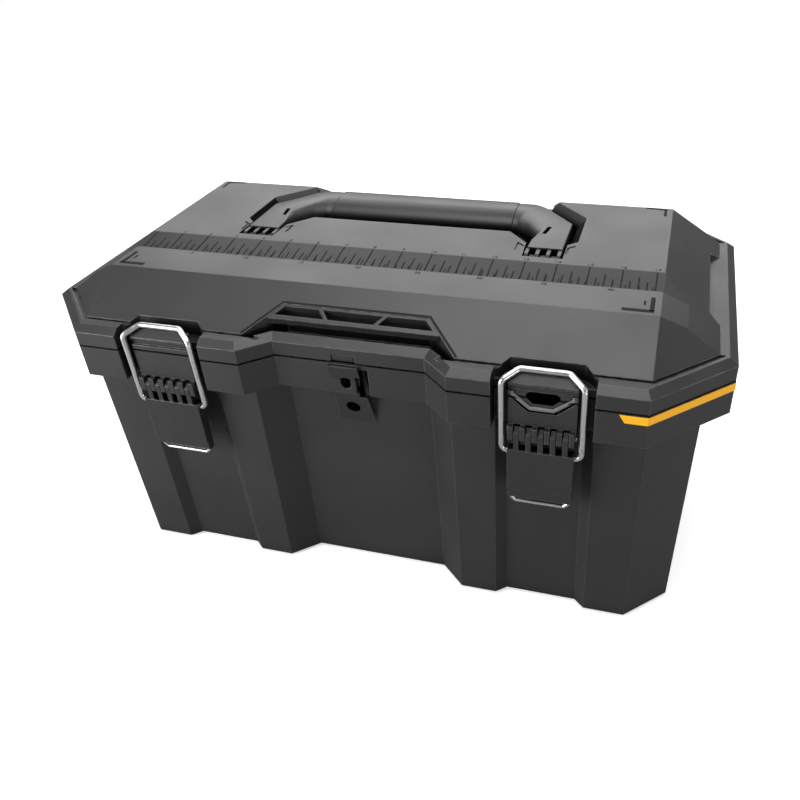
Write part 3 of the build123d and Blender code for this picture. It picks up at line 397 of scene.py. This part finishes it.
def bright_plastic(name, colour, glow):
    """Coloured semi-gloss plastic that keeps its strength in shade by a faint painted glow."""
    def build(nodes):
        given = {
            "Colour": colour,
            "Worn And Highlight Colour": colour,
            "Roughness": 0.35,
            "Grain Depth": 0.1,
            "Scuffs": 0.05,
        }
        inputs = use_group(nodes, PLASTIC, given)
        # painted light: the plastic glows though it is no lamp
        inputs.update({"Emission Color": colour, "Emission Strength": glow})
        return inputs

    return material(name, build)


def unlit_dark(nodes):
    """Painted shade for the depth of a hole: black, and without gloss."""
    return {"Base Color": charcoal(0.001), "Metallic": 1.0, "Roughness": 1.0}


looks = {
    "shell_plastic": plastic("shell", Colour=charcoal(0.028), Roughness=0.47, Grain_Depth=0.55),
    "lid_plastic": lid_plastic(),
    # painted highlight: the catch's lip is the lid's plastic, drawn far paler as if lit
    "catch_lip": plastic(
        "catch lip", Colour=charcoal(0.15), Roughness=0.36, Grain_Depth=0.3, Edge_Wear=0.3
    ),
    # top and side: painted light on upward faces, painted shade on the rest
    "handle_plastic": handle_plastic("handle", top=0.03, side=0.01, roughness=0.4),
    "grip_plastic": handle_plastic("grip", top=0.026, side=0.004, roughness=0.4),
    "stripe_plastic": bright_plastic("stripe", (1.0, 0.48, 0.012, 1.0), glow=0.13),
    "painted_hole_shade": material("hole", unlit_dark),
    "latch_plastic": plastic(
        "latch", Colour=charcoal(0.026), Roughness=0.42, Grain_Depth=0.4, Edge_Wear=0.3
    ),
    "wire_steel": drawn_steel("wire", (0.86, 0.87, 0.88, 1.0), 0.3),
    "pin_steel": drawn_steel("pin", (0.55, 0.56, 0.58, 1.0), 0.3),
    # black for the plain numbers, painted shade for the ticks, corner marks and shut line
    "ruler_mark_and_painted_shade": plastic(
        "ruler mark and painted shade",
        Colour=charcoal(0.002),
        Roughness=0.85,
        Grain_Depth=0.2,
        Edge_Wear=0.0,
        Scuffs=0.0,
    ),
    "tray_plastic": plastic("tray", Colour=charcoal(0.05), Roughness=0.45, Grain_Depth=0.4),
}
own_look = {"lid_shell": "lid_plastic"}
for subpart in frame["record"]["subparts"]:
    node = subpart["node"]
    look = looks[own_look.get(node, subpart["material_slot"])]
    for slot in frame["nodes"][node].material_slots:
        slot.material = look


# ---- Mesh helpers ----------------------------------------------------------------------------
BOX_FACES = [(0, 1, 2, 3), (4, 5, 6, 7), (0, 1, 5, 4), (1, 2, 6, 5), (2, 3, 7, 6), (3, 0, 4, 7)]


def placed(name, data, look):
    """Object at the origin, in the scene, for a finished mesh."""
    data.materials.append(look)
    piece = bpy.data.objects.new(name, data)
    bpy.context.scene.collection.objects.link(piece)
    return piece


def new_piece(name, points, faces, look, smooth=False):
    """Closed mesh at the origin, its faces turned outwards."""
    data = bpy.data.meshes.new(name)
    data.from_pydata(np.asarray(points).tolist(), [], faces)
    shape = bmesh.new()
    shape.from_mesh(data)
    bmesh.ops.recalc_face_normals(shape, faces=shape.faces)
    shape.to_mesh(data)
    shape.free()
    data.polygons.foreach_set("use_smooth", np.full(len(data.polygons), smooth))
    return placed(name, data, look)


def plates(name, shapes, look):
    """Thin plates as one piece; each has a four-cornered plan, a bottom and a top height.

    A height is one number, or one for each corner.
    """
    levels = [(plan, z) for plan, bottom, top in shapes for z in (bottom, top)]
    points = [np.column_stack([plan, np.broadcast_to(z, 4)]) for plan, z in levels]
    faces = [tuple(8 * i + n for n in face) for i in range(len(shapes)) for face in BOX_FACES]
    return new_piece(name, np.concatenate(points), faces, look)


def tube_faces(rows, turns):
    """Quads between the rings of a tube and a cap at each end; a ring has its points in a row."""
    i, j = np.meshgrid(np.arange(rows - 1), np.arange(turns), indexing="ij")
    k = (j + 1) % turns
    quads = [i * turns + j, i * turns + k, (i + 1) * turns + k, (i + 1) * turns + j]
    last = (rows - 1) * turns
    caps = [list(range(turns)), list(range(last, last + turns))]
    return np.stack(quads, -1).reshape(-1, 4).tolist() + caps


def mirrored(half):
    """Right half of an outline, as (x, z) from its end inwards, and on through the left half."""
    return half + [(-x, z) for x, z in half[::-1]]


def unit(vector):
    return vector / np.linalg.norm(vector, axis=-1, keepdims=True)


def rounded_path(corners, bend, steps=9):
    """Centre line through the corners, each turned on an arc of radius bend."""
    line = [corners[:1]]
    for before, corner, after in zip(corners[:-2], corners[1:-1], corners[2:]):
        back, onward = unit(before - corner), unit(after - corner)
        half = np.arccos(back @ onward) / 2
        inward, across = unit(back + onward), unit(onward - back)
        centre = corner + inward * bend / np.sin(half)
        turn = np.linspace(-1.0, 1.0, steps)[:, None] * (np.pi / 2 - half)
        line.append(centre - bend * (inward * np.cos(turn) - across * np.sin(turn)))
    line.append(corners[-1:])
    return np.concatenate(line)


def bent_wire(name, corners, radius, bend, flat, look, turns=20):
    """Round wire bent in a plane square to flat.

    A point of its skin is line(s) + radius * (cos a * side(s) + sin a * up(s)), where side(s) is
    square to the line and to flat, and up(s) is square to the line and to side(s).
    """
    line = rounded_path(np.array(corners), bend)
    flat = unit(np.array(flat))
    along = unit(np.gradient(line, axis=0))
    side = unit(np.cross(along, flat))
    up = np.cross(side, along)[:, None]
    a = np.linspace(0.0, 2 * np.pi, turns, endpoint=False)[None, :, None]
    skin = line[:, None] + radius * (np.cos(a) * side[:, None] + np.sin(a) * up)
    return new_piece(name, skin.reshape(-1, 3), tube_faces(len(line), turns), look, smooth=True)


# ---- Latch wires -----------------------------------------------------------------------------
BAIL_WIRE, PULL_WIRE = 2.2 * MM, 1.5 * MM
BAIL_FOOT = 6.0 * MM            # the feet reach this far into the lever
BAIL_SHOULDER = 10.4 * MM       # from the solid wire's top line down to the shoulders
BAIL_BAR_HALF = 17.5 * MM
BAIL_HOOK = 9.0 * MM            # the cross bar lies this far back, over the lid's catch
BAIL_HOOK_DROP = 4.4 * MM       # and this far down
BAIL_BEND, PULL_BEND = 5.0 * MM, 1.6 * MM
PULL_SLANT = 3.5 * MM


def bail_wire(word):
    """Spring wire over the lid's catch: feet in the lever, legs, shoulders and cross bar.

    The legs keep to the solid wire's plane; from the shoulders the wire leans back to the cross
    bar, which lies over the catch's rear edge.
    """
    node = word + "_latch_bail"
    low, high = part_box(node)
    lever_low, lever_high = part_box(word + "_latch_lever")
    middle = (low[0] + high[0]) / 2
    pivot_y, pivot_z = high[1] - BAIL_WIRE, low[2] + BAIL_WIRE
    bar_y, bar_z = low[1] + BAIL_WIRE, high[2] - BAIL_WIRE
    lean = (bar_y - pivot_y) / (bar_z - pivot_z)
    half = [
        (lever_high[0] - middle - BAIL_FOOT, pivot_z),
        (high[0] - BAIL_WIRE - middle, pivot_z),
        (high[0] - BAIL_WIRE - middle, bar_z - BAIL_SHOULDER),
        (BAIL_BAR_HALF, bar_z),
    ]
    corners = [(middle + x, pivot_y + lean * (z - pivot_z), z) for x, z in mirrored(half)]
    hook = np.array((0.0, BAIL_HOOK, -BAIL_HOOK_DROP))
    corners = [np.array(c) + (hook if c[2] == bar_z else 0.0) for c in corners]
    flat = (0.0, bar_z - pivot_z, pivot_y - bar_y)
    name = word + "_bail_wire"
    piece = bent_wire(name, corners, BAIL_WIRE, BAIL_BEND, flat, looks["wire_steel"])
    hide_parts(node)
    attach(piece, word + "_bail")


def pull_ring(word):
    """Small ring at the lever's foot, with its corners cut across."""
    node = word + "_pull_wire"
    low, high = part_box(node)
    middle, y = (low[0] + high[0]) / 2, (low[1] + high[1]) / 2
    out, foot = high[0] - PULL_WIRE - middle, low[2] + PULL_WIRE
    half = [(out, high[2]), (out, foot + PULL_SLANT), (out - PULL_SLANT, foot)]
    corners = [(middle + x, y, z) for x, z in mirrored(half)]
    name, flat = word + "_pull_ring", (0.0, 1.0, 0.0)
    piece = bent_wire(name, corners, PULL_WIRE, PULL_BEND, flat, looks["wire_steel"])
    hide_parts(node)
    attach(piece, word + "_lever")


BAIL_CLEARANCE = 0.5 * MM       # between the solid wire and the catch's face
# The right catch's tongue leans back as it rises; height, and y from the catch's face.
TONGUE_TOP, TONGUE_FOOT = (226.0 * MM, 1.9 * MM), (214.8 * MM, -1.6 * MM)
# Right halves of its lower edge and of its finger hole, as x and height in millimetres.
TONGUE_EDGE = [(21.8, 226.0), (21.8, 223.6), (8.2, 214.8)]
FINGER_HOLE = [(9.4, 225.9), (12.0, 224.2), (11.6, 221.8), (7.0, 218.2)]
# the black plate of painted shade over the finger hole reaches this far back
FINGER_HOLE_DEPTH = 0.9 * MM
LIP_RADIUS, LIP_BEND = 1.5 * MM, 1.2 * MM


def on_tongue(middle, catch_face, half):
    """Points over the tongue's leaning face, for the outline whose right half is given."""
    rise, run = TONGUE_TOP[0] - TONGUE_FOOT[0], TONGUE_TOP[1] - TONGUE_FOOT[1]
    x, z = np.array(mirrored(half)).T * MM
    y = catch_face + TONGUE_FOOT[1] + (z - TONGUE_FOOT[0]) / rise * run
    return np.stack([middle + x, y, z], -1)


def catch_tongue_details():
    """Rounded lip round the tongue's lower edge (painted highlight) and painted shade in its finger
    hole.
    """
    low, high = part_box("right_latch_bail")
    middle, catch_face = (low[0] + high[0]) / 2, low[1] + 2 * BAIL_WIRE + BAIL_CLEARANCE
    edge = on_tongue(middle, catch_face, TONGUE_EDGE)
    flat = (0.0, TONGUE_TOP[0] - TONGUE_FOOT[0], TONGUE_FOOT[1] - TONGUE_TOP[1])
    # painted highlight on the lip
    look = looks["catch_lip"]
    lip = bent_wire("catch_tongue_lip", edge, LIP_RADIUS, LIP_BEND, flat, look, turns=12)
    face = on_tongue(middle, catch_face, FINGER_HOLE)
    skin = np.concatenate([face, face + (0.0, FINGER_HOLE_DEPTH, 0.0)])
    hole = new_piece("catch_tongue_hole_shade", skin, tube_faces(2, len(face)), looks["painted_hole_shade"])
    for piece in (lip, hole):
        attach(piece, "lid")


catch_tongue_details()
for word in ("right", "left"):
    bail_wire(word)
    pull_ring(word)


# ---- Carry handle ----------------------------------------------------------------------------
SEAM_X = 86.0 * MM              # the sleeve ends here
SLEEVE_BEVEL = 0.7 * MM
SOFT_EDGE = 20.0 * MM           # run of the bar's rounded front
SOFT_SHARE = 0.55               # share of the thickness that the upper front takes
SOFT_UNDER = 0.42               # run of the lower front, as a share of the upper one's
CREASE_TURN = 0.3               # the upper ellipse is cut off here, in radians
BACK_CORNER = 1.2 * MM
CREASE_ANGLE = math.radians(32)
ARM_DROP = 0.5 * MM             # the arms' top lies this far under the sleeve's
KNUCKLE_CUT = -17.95 * MM       # the knuckles of the solid are kept in front of this

# The right arm in plan, as x and y in millimetres at shares of its run from the sleeve.
ARM_RUN = (0.0, 0.06, 0.36, 0.62, 1.0)
ARM_INNER = [(86.0, 41.1), (90.0, 40.6), (101.0, 31.0), (111.5, 15.0), (110.0, -17.9)]
ARM_OUTER = [(86.0, 76.6), (101.0, 76.6), (111.0, 70.6), (140.0, 36.6), (140.0, -17.9)]
ARM_SLOT = [(117.8, 11.0), (121.2, 11.0), (123.8, 26.5), (120.4, 26.5)]
# Its rounded front's run and its thickness, each at shares of its run, in millimetres.
ARM_SOFT = (0.0, 0.06, 0.36, 0.62, 0.82, 1.0), (20.0, 20.0, 13.0, 6.5, 1.2, 1.2)
ARM_THICKNESS = (0.0, 0.36, 0.7, 1.0), (18.0, 18.0, 15.0, 15.0)
ARM_STEPS, ARM_SMOOTHING = 101, 9


def grip_section(reach, thickness, soft, turns=14):
    """Closed outline of the bar from its inner edge outwards, as (run, drop) arrays.

    The upper front is most of a quarter of an ellipse, which leaves a light crease along the flat
    top; the lower front is a smaller quarter; the back has small round corners. Every argument is
    an array over the length.
    """
    reach, thickness, soft = (np.asarray(v, float)[:, None] for v in (reach, thickness, soft))
    a = np.linspace(0.0, np.pi / 2, turns)[None, :]
    b = CREASE_TURN + a * (1 - CREASE_TURN / (np.pi / 2))
    upper = (
        soft * (1 - np.sin(b)) / (1 - np.sin(CREASE_TURN)),
        -SOFT_SHARE * thickness * (np.cos(CREASE_TURN) - np.cos(b)) / np.cos(CREASE_TURN),
    )
    lower = (
        SOFT_UNDER * soft * (1 - np.cos(a[:, 1:])),
        -thickness * (SOFT_SHARE + (1 - SOFT_SHARE) * np.sin(a[:, 1:])),
    )
    rising, closing = (BACK_CORNER * (1 - f(a[:, ::4])) for f in (np.sin, np.cos))
    low_back = reach - rising, closing - thickness
    high_back = reach - closing, 0 * thickness - rising
    parts = (upper, lower, low_back, high_back)
    return tuple(np.concatenate([part[n] for part in parts], axis=1) for n in (0, 1))


def skin_between(name, inner, outer, top, thickness, soft, look):
    """Closed skin over the grip's section, carried between an inner and an outer line in plan.

    A point is inner(t) + run(s, t) * towards(t), at height top(t) + drop(s, t), where towards is
    the unit vector from the inner line to the outer one.
    """
    across = outer - inner
    reach = np.linalg.norm(across, axis=1)
    run, drop = grip_section(reach, thickness, soft)
    plan = inner[:, None] + (across / reach[:, None])[:, None] * run[..., None]
    points = np.concatenate([plan, (np.asarray(top)[:, None] + drop)[..., None]], axis=-1)
    points = points.reshape(-1, 3)
    piece = new_piece(name, points, tube_faces(*run.shape), look, smooth=True)
    piece.data.set_sharp_from_angle(angle=CREASE_ANGLE)
    return piece


def handle_arm(side):
    """Arm from the sleeve's seam round the elbow to the block over the knuckles, with its slot."""
    mirror = np.array((side, 1)) * MM
    t = np.linspace(0.0, 1.0, ARM_STEPS)
    inner, outer = (
        np.stack([np.interp(t, ARM_RUN, line[:, n]) for n in (0, 1)], -1)
        for line in (np.array(ARM_INNER), np.array(ARM_OUTER))
    )
    window, ends = np.ones(ARM_SMOOTHING) / ARM_SMOOTHING, ARM_SMOOTHING // 2
    padded = np.pad(inner, ((ends, ends), (0, 0)), mode="reflect", reflect_type="odd")
    inner = np.stack([np.convolve(padded[:, n], window, mode="valid") for n in (0, 1)], -1)
    soft, thickness = np.interp(t, *ARM_SOFT) * MM, np.interp(t, *ARM_THICKNESS) * MM
    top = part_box("carry_handle_grip")[1][2] - ARM_DROP
    look = looks["handle_plastic"]
    tops = np.full(len(t), top)
    arm = skin_between("arm", inner * mirror, outer * mirror, tops, thickness, soft, look)
    cutter = plates("slot", [(np.array(ARM_SLOT) * mirror, top - 6 * MM, top + 1 * MM)], look)
    cut = arm.modifiers.new("slot", "BOOLEAN")
    cut.object, cut.operation, cut.solver = cutter, "DIFFERENCE", "EXACT"
    graph = bpy.context.evaluated_depsgraph_get()
    data = bpy.data.meshes.new_from_object(arm.evaluated_get(graph))
    bpy.data.objects.remove(cutter)
    bpy.data.objects.remove(arm)
    return data


def handle_knuckles():
    """The knuckles of both arms, taken from the solid with everything behind them cut off."""
    shape = bmesh.new()
    shape.from_mesh(frame["nodes"]["carry_handle_frame"].data)
    bmesh.ops.remove_doubles(shape, verts=shape.verts, dist=1e-6)
    everything = shape.verts[:] + shape.edges[:] + shape.faces[:]
    cut = bmesh.ops.bisect_plane(
        shape, geom=everything, plane_co=(0, KNUCKLE_CUT, 0), plane_no=(0, 1, 0), clear_outer=True
    )
    rim = [part for part in cut["geom_cut"] if isinstance(part, bmesh.types.BMEdge)]
    bmesh.ops.holes_fill(shape, edges=rim)
    data = bpy.data.meshes.new("knuckles")
    shape.to_mesh(data)
    shape.free()
    return data


def joined(name, meshes, look):
    """One piece from several meshes that lie in the shared frame."""
    shape = bmesh.new()
    for data in meshes:
        shape.from_mesh(data)
        bpy.data.meshes.remove(data)
    for face in shape.faces:
        face.material_index = 0
    data = bpy.data.meshes.new(name)
    shape.to_mesh(data)
    shape.free()
    return placed(name, data, look)


def carry_handle():
    """The two arms with their knuckles as one piece, and the sleeve between them."""
    meshes = [handle_arm(1), handle_arm(-1), handle_knuckles()]
    arms = joined("handle_arms", meshes, looks["handle_plastic"])
    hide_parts("carry_handle_frame")
    low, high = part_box("carry_handle_grip")
    x = np.array([-1.0, -0.992, 0.992, 1.0]) * SEAM_X
    bevel = np.array([1.0, 0.0, 0.0, 1.0]) * SLEEVE_BEVEL
    inner = np.stack([x, low[1] + bevel], -1)
    outer = np.stack([x, high[1] - bevel], -1)
    thickness, soft = high[2] - low[2] - 2 * bevel, np.full(4, SOFT_EDGE)
    look = looks["grip_plastic"]
    sleeve = skin_between("handle_sleeve", inner, outer, high[2] - bevel, thickness, soft, look)
    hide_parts("carry_handle_grip")
    for piece, slot in ((arms, "handle_plastic"), (sleeve, "grip_plastic")):
        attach(piece, "carry_handle")


carry_handle()


# ---- Padlock boss ----------------------------------------------------------------------------
BOSS_OUT = (0.0, -0.9606, -0.278)       # the way that its leaning face looks
BOSS_TOP, BOSS_LEAN = (-149.9, 220.5), 0.2896       # y and height of its top in mm, run per drop
# Name, x, height, inner and outer radius of each mark, in millimetres.
BOSS_MARKS = [("padlock_hole_shade_rim", -4.0, 203.5, 4.6, 5.8), ("blind_hole_shade", -4.5, 175.5, 0.0, 5.7)]
RIM_PROUD, RIM_SUNK = 0.12, -0.5        # out from the face, in millimetres


def padlock_marks():
    """Painted shade on the boss's face: black rim of the padlock's hole, black blind hole under it.

    A point of a rim is centre + r * (cos a * x + sin a * up) + depth * out, where up and out lie
    along and square to the leaning face.
    """
    out = unit(np.array(BOSS_OUT))
    up = np.array((0.0, out[2], -out[1]))
    a = np.linspace(0.0, 2 * np.pi, 24, endpoint=False)[:, None]
    circle = np.cos(a) * (1.0, 0.0, 0.0) + np.sin(a) * up
    count = len(circle)
    j = np.arange(count)
    k = (j + 1) % count
    marks = []
    for name, x, z, inner, outer in BOSS_MARKS:
        centre = np.array((x, BOSS_TOP[0] + (BOSS_TOP[1] - z) * BOSS_LEAN, z))
        loops = [(outer, RIM_PROUD), (outer, RIM_SUNK)]
        faces = tube_faces(2, count)
        if inner:
            loops += [(inner, RIM_SUNK), (inner, RIM_PROUD)]
            pairs = [(n * count, (n + 1) % 4 * count) for n in range(4)]
            rings = [np.stack([m + j, m + k, n + k, n + j], -1) for m, n in pairs]
            faces = np.concatenate(rings).tolist()
        skin = [(centre + r * circle + depth * out) * MM for r, depth in loops]
        marks.append(new_piece(name, np.concatenate(skin), faces, looks["painted_hole_shade"]))
    return marks


for piece in padlock_marks():
    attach(piece, "tub")


# ---- Ruler on the lid ------------------------------------------------------------------------
DECK_FRONT = -42.9 * MM         # the strip falls from here to the ledge
LEDGE_BACK = -67.4 * MM
LEDGE_DROP = 4.0 * MM
INCHES, CENTIMETRES = 17, 43
CENTIMETRE = 10 * MM
RULER_START = -INCHES / 2 * INCH
INCH_TICK, HALF_TICK, QUARTER_TICK = 23.0 * MM, 15.5 * MM, 9.5 * MM
FIVE_CM_TICK, CM_TICK = 7.5 * MM, 4.5 * MM
INCH_HALF_WIDTH, CM_HALF_WIDTH = 0.55 * MM, 0.4 * MM
TICK_FOOT = 0.6 * MM            # from the strip's lower edge up to the ticks' feet
MARK_TOP = 0.12 * MM            # the ticks and marks stand this proud of the lid
TICK_DEPTH, CORNER_DEPTH = 0.4 * MM, 0.8 * MM       # and reach this far into it
deck_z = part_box("lid_shell")[1][2]


def ruler_ticks():
    """Inch scale with halves and quarters over a centimetre scale, as thin black bars on the strip.

    Their black is painted shade of the ticks' grooves. A bar at x runs up the strip from its lower
    edge; its eight corners are the two ends of its length, the two sides of its width and the two
    levels of its height.
    """
    quarters = np.arange(4 * INCHES + 1)
    centimetres = np.arange(CENTIMETRES + 1)
    length = np.concatenate([
        np.select([quarters % 4 == 0, quarters % 2 == 0], [INCH_TICK, HALF_TICK], QUARTER_TICK),
        np.where(centimetres % 5 == 0, FIVE_CM_TICK, CM_TICK),
    ])
    x = np.concatenate([quarters * INCH / 4, centimetres * CENTIMETRE]) + RULER_START
    half = np.repeat([INCH_HALF_WIDTH, CM_HALF_WIDTH], [len(quarters), len(centimetres)])
    levels = (-TICK_DEPTH, MARK_TOP)
    u, v, w = (n.ravel() for n in np.meshgrid((0.0, 1.0), (-1.0, 1.0), levels, indexing="ij"))
    y = LEDGE_BACK + TICK_FOOT + u * length[:, None]
    z = deck_z + (y - DECK_FRONT) * LEDGE_DROP / (DECK_FRONT - LEDGE_BACK) + w
    points = np.stack([x[:, None] + v * half[:, None], y, z], -1).reshape(-1, 3)
    sides = [(0, 1, 3, 2), (4, 6, 7, 5), (0, 4, 5, 1), (2, 3, 7, 6), (0, 2, 6, 4), (1, 5, 7, 3)]
    faces = np.arange(len(x))[:, None, None] * 8 + np.array(sides)
    return new_piece("ruler_ticks", points, faces.reshape(-1, 4).tolist(), looks["ruler_mark_and_painted_shade"])


def numerals(name, labels, size):
    """Plain numbers, each (text, x, y of its foot, z), as one thin raised mesh."""
    shape = bmesh.new()
    for text, x, y, z in labels:
        curve = bpy.data.curves.new("numeral", "FONT")
        curve.body, curve.size, curve.align_x = text, size, "CENTER"
        curve.extrude, curve.resolution_u = NUMBER_RISE, 3
        holder = bpy.data.objects.new("numeral", curve)
        data = bpy.data.meshes.new_from_object(holder)
        data.transform(Matrix.Translation((x, y, z)))
        shape.from_mesh(data)
        bpy.data.objects.remove(holder)
        bpy.data.curves.remove(curve)
        bpy.data.meshes.remove(data)
    data = bpy.data.meshes.new(name)
    shape.to_mesh(data)
    shape.free()
    data.materials.clear()
    return placed(name, data, looks["ruler_mark_and_painted_shade"])


MARK_X = 215.5                  # the marks' outer lines, in millimetres from the middle


def corner_marks():
    """Black flat bars let into the deck and the ledge at their corners: painted shade of their
    grooves.

    A bar from p to q has its corners at p and q, half its width to either side along the normal
    of the line, and its top a hair over the surface.
    """
    deck, ledge = deck_z, deck_z - LEDGE_DROP
    lines = [
        ((MARK_X - 17.0, 86.6), (MARK_X + 1.0, 84.7), 3.0, deck),
        ((MARK_X, 85.0), (MARK_X, 70.5), 2.2, deck),
        ((MARK_X - 21.0, -98.9), (MARK_X + 1.6, -98.9), 4.0, ledge),
        ((MARK_X, -98.9), (MARK_X, -78.0), 3.2, ledge),
        ((MARK_X - 5.5, -90.0), (MARK_X - 5.5, -84.0), 1.6, ledge),
    ]
    marks = []
    for side in (-1, 1):
        for p, q, width, z in lines:
            p, q = (np.array((side * v[0], v[1])) * MM for v in (p, q))
            normal = unit(np.array([p[1] - q[1], q[0] - p[0]])) * width / 2 * MM
            plan = np.array([p - normal, q - normal, q + normal, p + normal])
            marks.append((plan, z - CORNER_DEPTH, z + MARK_TOP))
    return plates("corner_marks", marks, looks["ruler_mark_and_painted_shade"])


SLOPE_RISE = 0.605              # of the lid's front slope, height over run
OUTLINE_GAP, OUTLINE_WIDTH = 0.3 * MM, 1.5 * MM
OUTLINE_BEND_X, OUTLINE_END_X, OUTLINE_FALL = 58.9 * MM, 84.3 * MM, 25.4 * MM
OUTLINE_DEPTH, OUTLINE_TOP = 0.6 * MM, 0.38 * MM    # under and over the slope's plane


def grip_outline():
    """Shut line round the front grip as a thin black ribbon of painted shade on the lid's front
    slope.

    The ribbon runs between a path in plan and the same path moved outwards; its height is the
    slope's plane, z = z0 + (y - y0) * rise.
    """
    low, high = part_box("front_grip_insert")
    top = high[1] + OUTLINE_GAP
    path = np.array(
        [(0.0, top), (OUTLINE_BEND_X, top), (OUTLINE_END_X, top - OUTLINE_FALL)]
    )
    moved = path + np.array([(0.0, 1.0), (0.45, 1.0), (1.3, 0.3)]) * OUTLINE_WIDTH
    ribbon = []
    for side in (-1, 1):
        for i in (0, 1):
            plan = np.array([path[i], path[i + 1], moved[i + 1], moved[i]]) * (side, 1)
            z = high[2] + (plan[:, 1] - high[1]) * SLOPE_RISE
            ribbon.append((plan, z - OUTLINE_DEPTH, z + OUTLINE_TOP))
    return plates("grip_outline", ribbon, looks["ruler_mark_and_painted_shade"])


INCH_SIZE, CENTIMETRE_SIZE = 5.4 * MM, 5.0 * MM     # height of the numbers
INCH_ROOM, CENTIMETRE_ROOM = 1.4 * MM, 5.4 * MM     # from the strip to the feet of the numbers
NUMBER_RISE = 0.1 * MM


def ruler():
    """Plain numbers on the strip; painted shade as its ticks, the corner marks and the grip's shut
    line.
    """
    above, below = DECK_FRONT + INCH_ROOM, LEDGE_BACK - CENTIMETRE_ROOM
    inches = [(str(n), RULER_START + n * INCH, above, deck_z) for n in range(1, INCHES + 1)]
    metric = [
        (str(n), RULER_START + n * CENTIMETRE, below, deck_z - LEDGE_DROP)
        for n in range(5, CENTIMETRES, 5)
    ]
    for piece in (
        ruler_ticks(),
        corner_marks(),
        grip_outline(),
        numerals("inch_numbers", inches, INCH_SIZE),
        numerals("centimetre_numbers", metric, CENTIMETRE_SIZE),
    ):
        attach(piece, "lid")


ruler()


# ---- Stage and light -------------------------------------------------------------------------
FLOOR_HALF = 2.0                # metres
GLOW_NEAR, GLOW_FAR = (0.6, 0.55), (1.4, 1.2)       # distance from the middle, strength


def white_floor(nodes):
    """Floor that is white to the camera and dimmer to the light, and glows towards its edges."""
    seen = nodes.add("ShaderNodeLightPath", output="Is Camera Ray")
    away = nodes.add(
        "ShaderNodeVectorMath", {0: nodes.place()}, output="Value", operation="LENGTH"
    )
    glow = nodes.ramp(away, GLOW_NEAR[0], GLOW_FAR[0], GLOW_NEAR[1], GLOW_FAR[1])
    return {
        "Base Color": nodes.mix(seen, (0.3, 0.3, 0.3, 1.0), (0.93, 0.93, 0.93, 1.0)),
        "Emission Color": (1.0, 1.0, 1.0, 1.0),
        "Emission Strength": nodes.math("MULTIPLY", seen, glow),
        "Roughness": 0.9,
        "Specular IOR Level": 0.0,
    }


def stage_floor():
    """Wide floor whose edges fade into the white behind it."""
    signs = ((-1, -1), (1, -1), (1, 1), (-1, 1))
    corners = [(x * FLOOR_HALF, y * FLOOR_HALF, 0) for x, y in signs]
    data = bpy.data.meshes.new("floor")
    data.from_pydata(corners, [], [(0, 1, 2, 3)])
    floor = placed("floor", data, material("floor", white_floor))


def softbox(name, centre, size, power):
    """Soft rectangular lamp that faces the middle of the box."""
    data = bpy.data.lights.new(name, "AREA")
    data.shape = "RECTANGLE"
    data.size, data.size_y = size
    data.energy = power
    lamp = bpy.data.objects.new(name, data)
    aim = (Vector((0.0, 0.0, 0.15)) - Vector(centre)).to_track_quat("-Z", "Y")
    lamp.matrix_world = Matrix.Translation(centre) @ aim.to_matrix().to_4x4()
    bpy.context.scene.collection.objects.link(lamp)


def world_light():
    """Even dim light from all round, seen as white by the camera."""
    world = bpy.data.worlds.new("studio")
    bpy.context.scene.world = world
    world.use_nodes = True
    tree = world.node_tree
    tree.nodes.clear()
    nodes = Nodes(tree)
    seen = nodes.add("ShaderNodeLightPath", output="Is Camera Ray")
    colour = nodes.mix(seen, (0.15, 0.15, 0.155, 1.0), (1.0, 1.0, 1.0, 1.0))
    back = tree.nodes.new("ShaderNodeBackground")
    nodes.feed(back.inputs["Color"], colour)
    out = tree.nodes.new("ShaderNodeOutputWorld")
    tree.links.new(back.outputs[0], out.inputs[0])


stage_floor()
world_light()
softbox("long back light", (-0.45, 2.4, 1.55), (3.4, 1.3), 45.0)
softbox("key from the front left", (-1.3, -1.2, 0.6), (1.0, 0.8), 22.0)
softbox("overhead", (0.0, -0.2, 2.2), (1.6, 1.6), 36.0)
softbox("right end fill", (2.1, 0.5, 0.35), (1.2, 0.6), 17.0)
softbox("low left fill", (-1.3, -1.4, 0.12), (0.9, 0.2), 6.5)
softbox("low right fill", (1.5, -1.3, 0.12), (0.9, 0.2), 5.5)
bpy.context.scene.view_settings.view_transform = "Standard"
